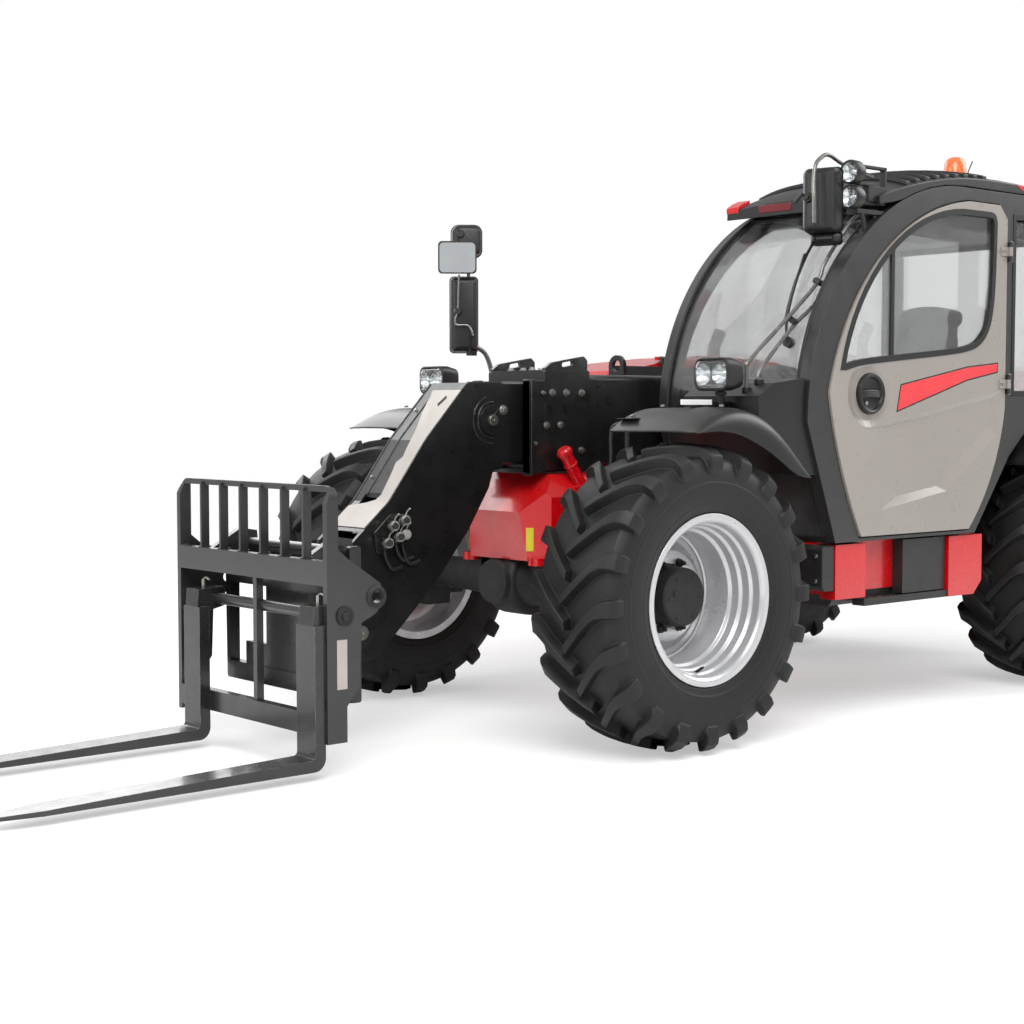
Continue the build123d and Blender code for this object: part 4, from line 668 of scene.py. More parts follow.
def makeWheel(name, side):
    centre = middle(name + "_wheel")
    tyre = middle(name + "_tyre")
    centre = (tyre[0], tyre[1], tyre[2])
    body = name + "_road_wheel"
    bm = bmesh.new()
    for section in ("rim", "disc"):
        rings, faces = addTurned(bm, centre, wheelPlan[section], wheelPlan["segments"], side)
        ringUp(faces, bm, rings)
    # weld bead between disc and rim
    addTurned(bm, centre, [(-0.074, 0.250), (-0.069, 0.259), (-0.076, 0.2605)], wheelPlan["segments"], side)
    finish = finishPiece(bm, name + "_wheel_rim", wheelSilver, body, 2.2, 3, 24)
    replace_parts(finish, name + "_wheel")
    bm = bmesh.new()
    addTurned(bm, centre, wheelPlan["hub"], 64, side)
    out = Vector((0, side, 0))
    for k in range(wheelPlan["nuts"]):
        a = 2 * pi * (k + 0.5) / wheelPlan["nuts"]
        foot = Vector(centre) + Vector((wheelPlan["nutCircle"] * cos(a), side * -0.030, wheelPlan["nutCircle"] * sin(a)))
        addNut(bm, foot, out, 0.027, 0.024)
        addRound(bm, foot + out * 0.030, out, 0.0095, 0.018, 16, 0.008)
    for k in range(6):
        # small cap screws of the hub cover
        a = 2 * pi * k / 6
        foot = Vector(centre) + Vector((0.088 * cos(a), side * 0.063, 0.088 * sin(a)))
        addRound(bm, foot, out, 0.008, 0.008, 14)
    addRound(bm, Vector(centre) + Vector((0.058 * side, side * 0.0635, 0.018)), out, 0.012, 0.010, 6)
    finishPiece(bm, name + "_wheel_hub", castIron, body, 1.2, 2, 30)
    bm = bmesh.new()
    # valve stem through the rim
    foot = Vector(centre) + Vector((0.0, side * 0.118, -0.287))
    addRound(bm, foot + Vector((0, side * 0.012, 0.008)), (0, side, 0.6), 0.006, 0.046, 12)
    addRound(bm, foot + Vector((0, side * 0.032, 0.020)), (0, side, 0.6), 0.0045, 0.018, 12)
    finishPiece(bm, name + "_wheel_valve", sealRubber, body)


for name, side in (("front_left", 1), ("front_right", -1), ("rear_left", 1), ("rear_right", -1)):
    makeTyre(name)
    makeWheel(name, side)
print("wheels made")


# ------------------------------------------------- boom details

boomPlan = {"top": 1.485, "bottom": 1.085, "collarHalf": 0.185, "mouth": 0.030, "headHalf": 0.122,
            "frameFront": 0.115, "frameLow": 1.066, "frameHigh": 1.455, "windowHalf": 0.139,
            "sideBolts": [(-0.010, 1.405, 1.0), (-0.089, 1.405, 1.0), (0.042, 1.404, 0.6), (0.021, 1.267, 1.0),
                          (-0.057, 1.268, 1.0), (0.086, 1.190, 0.6), (-0.178, 1.405, 1.0), (-0.178, 1.160, 1.0),
                          (-0.078, 1.150, 1.0)]}


def makeCollarDetails():
    # mouth frame of the outer boom: a flanged ring in front of the collar, open for the inner boom
    plan = boomPlan
    half, window = plan["collarHalf"], plan["windowHalf"]
    bm = bmesh.new()
    for side in (1, -1):
        addBox(bm, at(plan["mouth"], min(side * window, side * half), plan["frameLow"]),
               at(plan["frameFront"], max(side * window, side * half), plan["frameHigh"]))
        addBox(bm, at(plan["frameFront"] - 0.016, min(side * window, side * (half + 0.012)), plan["frameLow"] - 0.010),
               at(plan["frameFront"], max(side * window, side * (half + 0.012)), plan["frameHigh"] + 0.004))
    addBox(bm, at(plan["mouth"], -window - 0.006, plan["frameLow"]), at(plan["frameFront"], window + 0.006, 1.086))
    finishPiece(bm, "boom_mouth_frame", boomBlack, "boom", 2.5)
    # screws that hold the wear pads, on both sides and on top
    bm = bmesh.new()
    for side in (1, -1):
        for x, z, size in plan["sideBolts"]:
            foot = at(x, side * half, z)
            addRound(bm, foot + Vector((0, side * 0.002, 0)), (0, side, 0), 0.016 * size, 0.004, 20)
            addRound(bm, foot + Vector((0, side * 0.008, 0)), (0, side, 0), 0.0125 * size, 0.012, 6, 0.0115 * size)
    for x in (-0.17, -0.07, 0.0):
        for y in (-0.07, 0.07):
            foot = at(x, y, plan["top"] + 0.015)
            addRound(bm, foot + Vector((0, 0, 0.002)), (0, 0, 1), 0.016, 0.004, 20)
            addRound(bm, foot + Vector((0, 0, 0.008)), (0, 0, 1), 0.0125, 0.012, 6, 0.0115)
    finishPiece(bm, "collar_bolts", zincPlate, "boom", 0.8)


facePlan = {
    # front face of the head from its top down: x, z
    "line": [(0.395, 1.444), (0.615, 1.210), (0.800, 0.965), (0.930, 0.854)],
    # height, and how far the pale plate reaches from the left edge across the face
    "rows": [(1.412, -0.071), (1.319, -0.031), (1.249, 0.012), (1.175, 0.032), (1.142, 0.041), (1.118, 0.017),
             (1.070, 0.032), (0.992, 0.046), (0.972, 0.030), (0.958, -0.020), (0.944, -0.114), (0.868, -0.116)],
    "edge": 0.1165, "thick": 0.0035}


def onFace(y, z, lift=0.0):
    # a place on the head's front face, at a height, lifted off it
    line = facePlan["line"]
    for (x0, z0), (x1, z1) in zip(line, line[1:]):
        if z >= z1 or (x1, z1) == line[-1]:
            t = (z - z0) / (z1 - z0)
            along = Vector((x1 - x0, 0, z1 - z0)).normalized()
            return at(x0 + (x1 - x0) * t, y, z) + Vector((-along.z, 0, along.x)) * lift


def makeHeadFace():
    # pale wear plate down the left of the head's front face, full width over its foot
    plan = facePlan
    bm = bmesh.new()
    rows = []
    for z, far in plan["rows"]:
        rows.append([bm.verts.new(onFace(y, z, lift)) for y, lift in
                     ((plan["edge"], 0.0), (plan["edge"], plan["thick"]), (far, plan["thick"]), (far, 0.0))])
    for a, b in zip(rows, rows[1:]):
        for k in range(4):
            j = (k + 1) % 4
            bm.faces.new((a[k], a[j], b[j], b[k]))
    bm.faces.new(rows[0])
    bm.faces.new(list(reversed(rows[-1])))
    finishPiece(bm, "head_wear_plate", stripGrey, "boom_extension", 0.8, 1)
    # slanted slot in its top, drawn as two dark strips on the plate: painted shade of the slot's inside
    bm = bmesh.new()
    for y0, z0, y1, z1 in ((0.052, 1.386, 0.034, 1.352), (0.060, 1.380, 0.042, 1.346)):
        addTube(bm, [onFace(y0, z0, plan["thick"]), onFace(y1, z1, plan["thick"])], 0.003, 8)
    finishPiece(bm, "head_plate_slot_painted_shade", sealRubber, "boom_extension")
    # weld beads: along both edges of the face and down its middle, and two small screws
    bm = bmesh.new()
    for y in (-0.1195, 0.1195, -0.055):
        steps = 30 if abs(y) > 0.1 else 22
        top, low = (1.438, 0.872) if abs(y) > 0.1 else (1.400, 0.990)
        addTube(bm, [onFace(y, top + (low - top) * k / steps, 0.0005 + 0.0006 * (k % 2)) for k in range(steps + 1)],
                0.003, 8)
    finishPiece(bm, "head_weld_beads", boomBlack, "boom_extension")
    bm = bmesh.new()
    for y, z in ((-0.088, 1.330), (-0.088, 1.060)):
        addNut(bm, onFace(y, z), onFace(y, z, 1.0) - onFace(y, z), 0.012, 0.008)
    finishPiece(bm, "head_face_screws", zincPlate, "boom_extension", 0.5)


pinPlan = {"pins": [(0.940, 0.460, 0.030), (0.270, 1.290, 0.025)], "out": 0.130}


def makePins():
    # pins of the head with their keepers, and a half collar and weld round the tilt ram's pin
    bm = bmesh.new()
    for side in (1, -1):
        for x, z, r in pinPlan["pins"]:
            foot = at(x, side * pinPlan["out"], z)
            addRound(bm, foot + Vector((0, side * 0.004, 0)), (0, side, 0), r, 0.014, 32, r * 0.9)
            addRound(bm, foot + Vector((0, side * 0.012, 0)), (0, side, 0), 0.006, 0.008, 12, 0.003)
        foot = at(0.214, side * 0.122, 1.332)
        addRound(bm, foot + Vector((0, side * 0.006, 0)), (0, side, 0), 0.021, 0.012, 28)
        addNut(bm, foot + Vector((0, side * 0.012, 0)), (0, side, 0), 0.026, 0.014)
        foot = at(0.995, side * 0.122, 0.500)
        addNut(bm, foot, (0, side, 0), 0.022, 0.014)
    finishPiece(bm, "head_pins", zincPlate, "boom_extension", 1.0)
    bm = bmesh.new()
    for side in (1, -1):
        # keeper plate from the pin to its bolt
        low, high = sorted((side * 0.122, side * 0.133))
        addPrism(bm, [(x + axleX, z) for x, z in ((0.262, 1.268), (0.288, 1.292), (0.226, 1.352), (0.196, 1.330))],
                 low, high)
        # raised half ring forward of the pin
        for r, thick in ((0.074, 0.0045), (0.098, 0.0035)):
            turns = [radians(t) for t in range(-95, 100 if r < 0.09 else 75, 8)]
            addTube(bm, [at(0.270 + r * cos(t), side * 0.1225, 1.290 + r * sin(t)) for t in turns], thick, 8)
    finishPiece(bm, "tilt_pin_collar", boomBlack, "boom_extension", 1.5)
    bm = bmesh.new()
    for side in (1, -1):
        foot = at(-2.950, side * 0.2085, 1.380)
        addRound(bm, foot, (0, side, 0), 0.052, 0.010, 40, 0.046)
        addNut(bm, foot + Vector((0.0, side * 0.004, 0.0)), (0, side, 0), 0.030, 0.012)
        for x, z in ((0.055, 0.0), (-0.055, 0.0)):
            addNut(bm, foot + Vector((x, side * 0.004, z)), (0, side, 0), 0.018, 0.009)
    finishPiece(bm, "boom_pin_ends", zincPlate, "chassis", 1.0)


couplerPlan = {"rows": [(0.745, 0.892), (0.800, 0.872), (0.772, 0.828), (0.828, 0.806), (0.742, 0.836)],
               "y": 0.122, "lean": (0.35, 1.0, 0.12)}


def makeCouplers():
    # bracket with quick couplers on the left of the boom head, their levers, caps and short hoses
    plan = couplerPlan
    lean = Vector(plan["lean"]).normalized()
    bm = bmesh.new()
    outline = [(x + axleX, z) for x, z in ((0.700, 0.915), (0.800, 0.922), (0.880, 0.850), (0.868, 0.770),
                                           (0.800, 0.762), (0.712, 0.806))]
    addPrism(bm, outline, plan["y"], plan["y"] + 0.012)
    for x, z in plan["rows"]:
        addBox(bm, at(x - 0.024, plan["y"] + 0.010, z - 0.022), at(x + 0.020, plan["y"] + 0.030, z + 0.022))
    finishPiece(bm, "coupler_bracket", boomBlack, "boom_extension", 2.0)
    bm = bmesh.new()
    for x, z in plan["rows"]:
        foot = at(x, plan["y"] + 0.018, z)
        for out, radius, depth, end in ((0.008, 0.019, 0.016, 0.019), (0.024, 0.0165, 0.018, 0.0165),
                                        (0.040, 0.020, 0.014, 0.020), (0.051, 0.0175, 0.008, 0.015)):
            addRound(bm, foot + lean * out, lean, radius, depth, 24, end)
        addNut(bm, foot - lean * 0.004, lean, 0.034, 0.010)
        addTube(bm, [foot + lean * 0.030 + Vector((0, 0, 0.012)), foot + lean * 0.034 + Vector((-0.01, 0, 0.036)),
                     foot + lean * 0.050 + Vector((-0.018, 0, 0.046))], 0.0035, 8)
    finishPiece(bm, "couplers", zincPlate, "boom_extension", 0.8)
    bm = bmesh.new()
    for x, z in plan["rows"][:4]:
        foot = at(x, plan["y"] + 0.018, z)
        addRound(bm, foot + lean * 0.057, lean, 0.0145, 0.008, 20, 0.012)
    for k, (x, z) in enumerate(plan["rows"][2:]):
        # short hoses that turn down behind the bracket and back to the head
        addTube(bm, smoothPath([at(x, plan["y"] + 0.014, z - 0.014), at(x + 0.006, plan["y"] + 0.022, z - 0.050),
                                at(x - 0.030, plan["y"] + 0.018, z - 0.090 - 0.012 * k),
                                at(x - 0.090, plan["y"] + 0.004, z - 0.085 - 0.012 * k)], 6), 0.008, 12)
    finishPiece(bm, "coupler_hoses", sealRubber, "boom_extension")


def makeBoomLines():
    # steel pipes along the right side of the outer boom, in plastic blocks, with hose ends
    bm = bmesh.new()
    for k, z in enumerate((1.165, 1.195, 1.225)):
        addTube(bm, smoothPath([at(-2.760, -0.153, z - 0.03), at(-2.700, -0.165, z - 0.004), at(-2.640, -0.166, z),
                                at(-1.500, -0.166, z), at(-0.420, -0.166, z), at(-0.330, -0.166, z),
                                at(-0.290, -0.156, z - 0.01)], 5), 0.0085, 12)
    finishPiece(bm, "boom_pipes", zincPlate, "boom")
    bm = bmesh.new()
    for x in (-2.50, -1.95, -1.40, -0.85, -0.42):
        addBox(bm, at(x - 0.020, -0.180, 1.140), at(x + 0.020, -0.150, 1.250))
    finishPiece(bm, "boom_pipe_clamps", trimPlastic, "boom", 2.5)


makeCollarDetails()
makeHeadFace()
makePins()
makeCouplers()
makeBoomLines()
print("boom made")


# ------------------------------------------------- fork carriage

def makeCarriageDetails():
    bm = bmesh.new()
    for side in (1, -1):
        # lock pin's collar and its bolt, and a turned ring
        foot = at(1.300, side * 0.530, 0.590)
        addRound(bm, foot + Vector((0, side * 0.004, 0)), (0, side, 0), 0.036, 0.008, 32)
        addNut(bm, foot + Vector((0, side * 0.006, 0)), (0, side, 0), 0.036, 0.016)
        foot = at(1.160, side * 0.536, 0.650)
        addTurned(bm, (foot.x, foot.y, foot.z), [(0.0, 0.024), (0.006, 0.026), (0.008, 0.034), (0.0, 0.040)], 40, side)
        foot = at(1.180, side * 0.5290, 0.480 + 0.09)
    finishPiece(bm, "carriage_pins", castIron, "carriage", 1.2)
    # blank plate on the carriage's left side
    bm = bmesh.new()
    addBox(bm, at(1.290, 0.530, 0.325), at(1.335, 0.532, 0.505))
    finishPiece(bm, "carriage_plate", plateGrey, "carriage", 0.8)
    bm = bmesh.new()
    for y in (0.458, -0.345):
        # fork clip: a bent pin and its handle on top of the fork's eye
        addRound(bm, at(1.365, y, 0.645), (0, 0, 1), 0.008, 0.040, 14)
        addTube(bm, smoothPath([at(1.365, y, 0.662), at(1.365, y + 0.02, 0.672), at(1.365, y + 0.045, 0.664)], 5), 0.005, 10)
    finishPiece(bm, "fork_clips", zincPlate, "carriage", 0.6)
    # weld beads where the slats stand on the bar
    bm = bmesh.new()
    pitch = 2 * 0.505 / 7
    for k in range(1, 7):
        y = -0.505 + pitch * k
        for dx in (-0.0465, -0.0085):
            addRound(bm, at(1.376 + dx, y, 0.792), (0, 1, 0), 0.004, 0.020, 8)
    for y in (-0.530 + 0.027, 0.530 - 0.027):
        for z in (0.700, 0.790, 0.150, 0.230):
            addRound(bm, at(1.356, y, z), (1, 0, 0), 0.004, 0.036, 8)
    finishPiece(bm, "carriage_welds", carriageGrey, "carriage")


makeCarriageDetails()
print("carriage made")


# ------------------------------------------------- cab

cabPlan = {"left": 1.065, "right": 0.214, "door": 1.073, "arcX": -1.650, "arcZ": 1.280, "arcR": 1.035, "rear": -2.320,
           "floor": 0.780, "roof": 2.410}


def arcThrough(a, b, c, steps=16):
    # points on the circle through three (x, z) points, a to c by way of b
    ax, az, bx, bz, cx, cz = *a, *b, *c
    d = 2 * (ax * (bz - cz) + bx * (cz - az) + cx * (az - bz))
    ux = ((ax * ax + az * az) * (bz - cz) + (bx * bx + bz * bz) * (cz - az) + (cx * cx + cz * cz) * (az - bz)) / d
    uz = ((ax * ax + az * az) * (cx - bx) + (bx * bx + bz * bz) * (ax - cx) + (cx * cx + cz * cz) * (bx - ax)) / d
    r = hypot(ax - ux, az - uz)
    turns = [atan2(z - uz, x - ux) for x, z in (a, b, c)]
    sweep = (turns[2] - turns[0]) % (2 * pi)
    half = (turns[1] - turns[0]) % (2 * pi)
    if half > sweep:
        sweep -= 2 * pi
    return [(ux + r * cos(turns[0] + sweep * k / steps), uz + r * sin(turns[0] + sweep * k / steps))
            for k in range(steps + 1)]


def windowOutline():
    arc = arcThrough((-1.660, 2.215), (-1.120, 2.005), (-0.815, 1.500))
    sill = smoothPath([(x, 0, z) for x, z in ((-0.845, 1.500), (-1.000, 1.528), (-1.520, 1.575), (-1.700, 1.598),
                                              (-1.790, 1.630), (-1.850, 1.692), (-1.880, 1.780), (-1.895, 1.900),
                                              (-1.904, 2.140), (-1.902, 2.180), (-1.889, 2.206),
                                              (-1.860, 2.215))], 4)
    return arc + [(v.x, v.z) for v in sill]


def inset(outline, by):
    # the outline moved inwards by that much, corner by corner
    count = len(outline)
    area = sum(outline[i][0] * outline[(i + 1) % count][1] - outline[(i + 1) % count][0] * outline[i][1]
               for i in range(count))
    turn = 1 if area > 0 else -1
    moved = []
    for i in range(count):
        p, q, r = (Vector(outline[(i + k) % count]) for k in (-1, 0, 1))
        first, second = (q - p).normalized(), (r - q).normalized()
        n1 = Vector((-first.y, first.x)) * turn
        n2 = Vector((-second.y, second.x)) * turn
        way = (n1 + n2).normalized()
        moved.append(tuple(q + way * (by / max(0.35, way.dot(n1)))))
    return moved


def addBand(bm, outline, inner, y0, y1):
    # a flat ring between two outlines of the same count, from y0 to y1
    count = len(outline)
    loops = [[bm.verts.new((x + axleX, y, z)) for x, z in flat] for flat, y in
             ((outline, y0), (outline, y1), (inner, y1), (inner, y0))]
    for a, b in zip(loops, loops[1:] + loops[:1]):
        for i in range(count):
            j = (i + 1) % count
            bm.faces.new((a[i], a[j], b[j], b[i]))


def makeDoorDetails():
    outline = windowOutline()
    bm = bmesh.new()
    addBand(bm, inset(outline, -0.004), inset(outline, 0.022), cabPlan["door"] - 0.020, cabPlan["door"] + 0.003)
    # split bar of the sliding pane
    addBox(bm, at(-1.172, 1.050, 1.545), at(-1.150, 1.068, 2.030))
    finishPiece(bm, "door_window_seal", sealRubber, "cab_door", 2.0)
    bm = bmesh.new()
    # red stripe, narrowing towards the back, with a black edge under it
    stripe = [(-1.219, 1.437), (-1.195, 1.330), (-1.697, 1.468), (-1.925, 1.506), (-1.925, 1.541), (-1.696, 1.520)]
    addPrism(bm, [(x + axleX, z) for x, z in inset(stripe, -0.006)], 1.0728, 1.0736)
    finishPiece(bm, "door_stripe_edge", sealRubber, "cab_door")
    bm = bmesh.new()
    addPrism(bm, [(x + axleX, z) for x, z in stripe], 1.0730, 1.0742)
    finishPiece(bm, "door_stripe", stripeRed, "cab_door")
    bm = bmesh.new()
    for z in (1.450, 2.050):
        # screws and greasers of the hinges
        for x, dz in ((-1.962, 0.0), (-1.946, 0.0)):
            addNut(bm, at(x, 1.0785, z + dz), (0, 1, 0), 0.011, 0.005)
        for dz in (0.032, -0.032):
            addRound(bm, at(-2.0, 1.085, z + 1.42 * dz), (0, 0, 1), 0.0092, 0.003, 20, 0.007)
    finishPiece(bm, "door_hinge_screws", zincPlate, "cab_door", 0.5)
    # handle: a dished cup with a pull bar across it, and its lock
    bm = bmesh.new()
    x0, y0, z0 = -1.000, 1.073, 1.400
    cup = [(0.000, 0.088), (0.012, 0.0875), (0.020, 0.084), (0.0215, 0.077), (0.018, 0.070), (0.006, 0.064),
           (0.003, 0.050), (0.003, 0.001)]
    addTurned(bm, at(x0, y0, z0), cup, 56)
    pull = [at(x0 - 0.066, y0 + 0.010, z0 - 0.004), at(x0 - 0.040, y0 + 0.0175, z0 - 0.002),
            at(x0, y0 + 0.0195, z0), at(x0 + 0.040, y0 + 0.0175, z0 - 0.002), at(x0 + 0.066, y0 + 0.010, z0 - 0.004)]
    for dz in (-0.010, -0.003, 0.004, 0.011):
        addTube(bm, smoothPath([q + Vector((0, -0.004, dz)) for q in pull], 5), 0.0062, 10)
    handle = finishPiece(bm, "door_pull", trimPlastic, "cab_door", 1.2)
    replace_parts(handle, "door_handle")
    bm = bmesh.new()
    addRound(bm, at(x0 + 0.030, y0 + 0.008, z0 - 0.040), (0, 1, 0), 0.010, 0.010, 20, 0.009)
    addBox(bm, at(x0 + 0.029, y0 + 0.0125, z0 - 0.045), at(x0 + 0.031, y0 + 0.0135, z0 - 0.035))
    finishPiece(bm, "door_lock", zincPlate, "cab_door", 0.4)


def makeCabDetails():
    # seals along the windscreen's two edges, and across its foot and head
    arc = [(cabPlan["arcX"] + (cabPlan["arcR"] - 0.004) * cos(radians(a)),
            cabPlan["arcZ"] + (cabPlan["arcR"] - 0.004) * sin(radians(a))) for a in range(2, 64, 3)]
    bm = bmesh.new()
    for y in (0.262, 0.997):
        addTube(bm, [at(x, y, z) for x, z in arc], 0.009, 10)
    for k in (0, -1):
        addTube(bm, [at(arc[k][0], 0.262, arc[k][1]), at(arc[k][0], 0.997, arc[k][1])], 0.010, 10)
    quarter = [(-2.050, 1.400), (-2.050, 2.220), (-2.270, 2.220), (-2.270, 1.400)]
    addBand(bm, inset(quarter, -0.004), inset(quarter, 0.020), cabPlan["left"] - 0.012, cabPlan["left"] + 0.003)
    finishPiece(bm, "cab_seals", sealRubber, "chassis", 1.5)
    # wiper
    bm = bmesh.new()
    addRound(bm, at(-0.690, 0.900, 1.610), (1, 0, 0.35), 0.022, 0.030, 20)
    addTube(bm, smoothPath([at(-0.676, 0.900, 1.612), at(-0.690, 0.885, 1.700), at(-0.760, 0.860, 1.830),
                            at(-0.860, 0.835, 1.990)], 6), 0.006, 10)
    blade = []
    for k in range(9):
        turn = radians(24 + 3.2 * k)
        r = cabPlan["arcR"] + 0.006
        blade.append(at(cabPlan["arcX"] + r * cos(turn), 0.870 - 0.008 * k, cabPlan["arcZ"] + r * sin(turn)))
    addTube(bm, blade, 0.007, 8)
    finishPiece(bm, "windscreen_wiper", trimPlastic, "chassis")
    # aerial
    bm = bmesh.new()
    foot = at(-2.336, 0.600, 2.372)
    addRound(bm, foot, (0, 0, 1), 0.016, 0.028, 20, 0.012)
    addRound(bm, foot + Vector((0, 0, 0.022)), (0, 0, 1), 0.008, 0.020, 16, 0.006)
    addTube(bm, smoothPath([foot + Vector((0, 0, 0.020)), foot + Vector((-0.002, 0, 0.060)), at(-2.352, 0.600, 2.480),
                            at(-2.392, 0.600, 2.545)], 4), 0.0028, 8)
    finishPiece(bm, "aerial", trimPlastic, "chassis")


roofPlan = {
    # x, height of the side edges, height of the crown
    "stations": [(-1.062, 2.228, 2.252), (-1.100, 2.243, 2.276), (-1.150, 2.258, 2.302), (-1.220, 2.277, 2.326),
                 (-1.300, 2.296, 2.350), (-1.400, 2.317, 2.370), (-1.520, 2.338, 2.388), (-1.660, 2.354, 2.400),
                 (-1.820, 2.360, 2.407), (-2.000, 2.360, 2.408), (-2.150, 2.355, 2.406), (-2.260, 2.346, 2.398),
                 (-2.320, 2.334, 2.378), (-2.348, 2.326, 2.352)],
    "right": 0.206, "left": 1.069, "across": 18, "over": 0.005,
    "ribs": [-1.275, -1.345, -1.415, -1.485, -1.555, -1.625, -1.695, -1.765, -1.835]}


def roofUnder(x):
    # the roof's lower edge: on the cab's round front, level behind it, and a peak out in front
    plan = cabPlan
    if x <= plan["arcX"]:
        return plan["arcZ"] + plan["arcR"] + roofPlan["over"]
    arc = plan["arcZ"] + sqrt(plan["arcR"] ** 2 - (x - plan["arcX"]) ** 2) + roofPlan["over"]
    return arc + max(0.0, x + 1.19) * 0.45


def roofTop(x, t):
    # height of the crowned top at x, t from 0 on the right edge to 1 on the left
    stations = roofPlan["stations"]
    for (x0, e0, c0), (x1, e1, c1) in zip(stations, stations[1:]):
        if x >= x1 or (x1, e1, c1) == stations[-1]:
            u = max(0.0, min(1.0, (x - x0) / (x1 - x0)))
            edge, crown = e0 + (e1 - e0) * u, c0 + (c1 - c0) * u
            return edge + (crown - edge) * (1 - abs(2 * t - 1) ** 3.2)


def makeRoof():
    plan = roofPlan
    count = plan["across"]
    bm = bmesh.new()
    loops = []
    for x, edge, crown in plan["stations"]:
        low = roofUnder(x)
        loop = []
        for k in range(count + 1):
            t = k / count
            # closer together near the edges
            t = 0.5 - 0.5 * cos(pi * t)
            y = plan["right"] + (plan["left"] - plan["right"]) * t
            z = roofTop(x, t)
            loop.append(bm.verts.new(at(x, y, z)))
        loop.append(bm.verts.new(at(x, plan["left"], low)))
        loop.append(bm.verts.new(at(x, plan["left"] - 0.030, low)))
        loop.append(bm.verts.new(at(x, plan["right"] + 0.030, low)))
        loop.append(bm.verts.new(at(x, plan["right"], low)))
        loops.append(loop)
    size = len(loops[0])
    for a, b in zip(loops, loops[1:]):
        for k in range(size):
            j = (k + 1) % size
            bm.faces.new((a[k], a[j], b[j], b[k]))
    bm.faces.new(loops[0])
    bm.faces.new(list(reversed(loops[-1])))
    roof = finishPiece(bm, "roof_shell", trimPlastic, "chassis", 5.0, 3, 40)
    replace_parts(roof, "cab_roof")
    # guard bars across the roof, their ends bent down over its edges
    bm = bmesh.new()
    for x in plan["ribs"]:
        path = []
        for k in range(23):
            t = 0.02 + 0.96 * k / 22
            y = plan["right"] + (plan["left"] - plan["right"]) * t
            path.append((y, roofTop(x, t) + 0.006))
        rings = [[bm.verts.new(at(x + dx, y, z + dz)) for dx, dz in
                  ((-0.016, -0.010), (0.016, -0.010), (0.016, 0.008), (-0.016, 0.008))] for y, z in path]
        for a, b in zip(rings, rings[1:]):
            for k in range(4):
                j = (k + 1) % 4
                bm.faces.new((a[k], a[j], b[j], b[k]))
        bm.faces.new(rings[0])
        bm.faces.new(list(reversed(rings[-1])))
    finishPiece(bm, "roof_guard_bars", trimPlastic, "chassis", 3.0)
    # red parts: the peak's right corner, and a flash on each side at the back
    bm = bmesh.new()
    for y0, y1 in ((plan["right"] - 0.001, plan["right"] + 0.070),):
        addPrism(bm, [(x + axleX, z) for x, z in ((-1.060, 2.224), (-1.059, 2.250), (-1.098, 2.272),
                                                 (-1.140, 2.288), (-1.140, 2.244), (-1.098, 2.232))], y0, y1)
    for y0, y1 in ((plan["right"] - 0.002, plan["right"] + 0.001), (plan["left"] - 0.001, plan["left"] + 0.002)):
        addPrism(bm, [(x + axleX, z) for x, z in ((-2.346, 2.326), (-2.346, 2.336), (-2.310, 2.346), (-2.240, 2.352),
                                                 (-2.055, 2.358), (-2.120, 2.330))], y0, y1)
    finishPiece(bm, "roof_red_ends", enamelRed, "chassis", 1.5)
    bm = bmesh.new()
    addBox(bm, at(-1.066, 0.400, 2.212), at(-1.059, 0.585, 2.246))
    finishPiece(bm, "roof_reflector", reflectorRed, "chassis", 2.0)


makeDoorDetails()
makeCabDetails()
makeRoof()
print("cab made")


# ------------------------------------------------- fenders and sill

fenderPlan = {
    # x and z of the top sheet, and of the lip's lower edge below it
    "top": [(0.105, 1.250), (0.066, 1.276), (0.020, 1.302), (-0.035, 1.323), (-0.090, 1.336), (-0.155, 1.342),
            (-0.220, 1.337), (-0.287, 1.317), (-0.350, 1.285), (-0.412, 1.241), (-0.470, 1.187), (-0.518, 1.130),
            (-0.560, 1.066)],
    "lip": [(0.103, 1.243), (0.048, 1.248), (-0.010, 1.251), (-0.064, 1.249), (-0.120, 1.240), (-0.170, 1.226),
            (-0.228, 1.203), (-0.288, 1.178), (-0.340, 1.150), (-0.396, 1.117), (-0.450, 1.084), (-0.503, 1.063),
            (-0.556, 1.059)],
    # across the sheet: way in from the outer edge, share of the way down to the lip
    "bend": [(None, 0.0), (0.110, 0.0), (0.070, 0.015), (0.042, 0.06), (0.022, 0.15), (0.009, 0.30), (0.002, 0.50),
             (0.0, 0.75), (0.0, 1.0)],
    "inner": 0.655, "outer": 1.135, "sheet": 0.0065,
    "stay": [(-0.010, 0.262, 0.960), (-0.004, 0.360, 0.985), (0.014, 0.470, 1.020), (0.034, 0.570, 1.070),
             (0.040, 0.600, 1.130), (0.044, 0.602, 1.215), (0.044, 0.612, 1.262), (0.042, 0.664, 1.278)]}


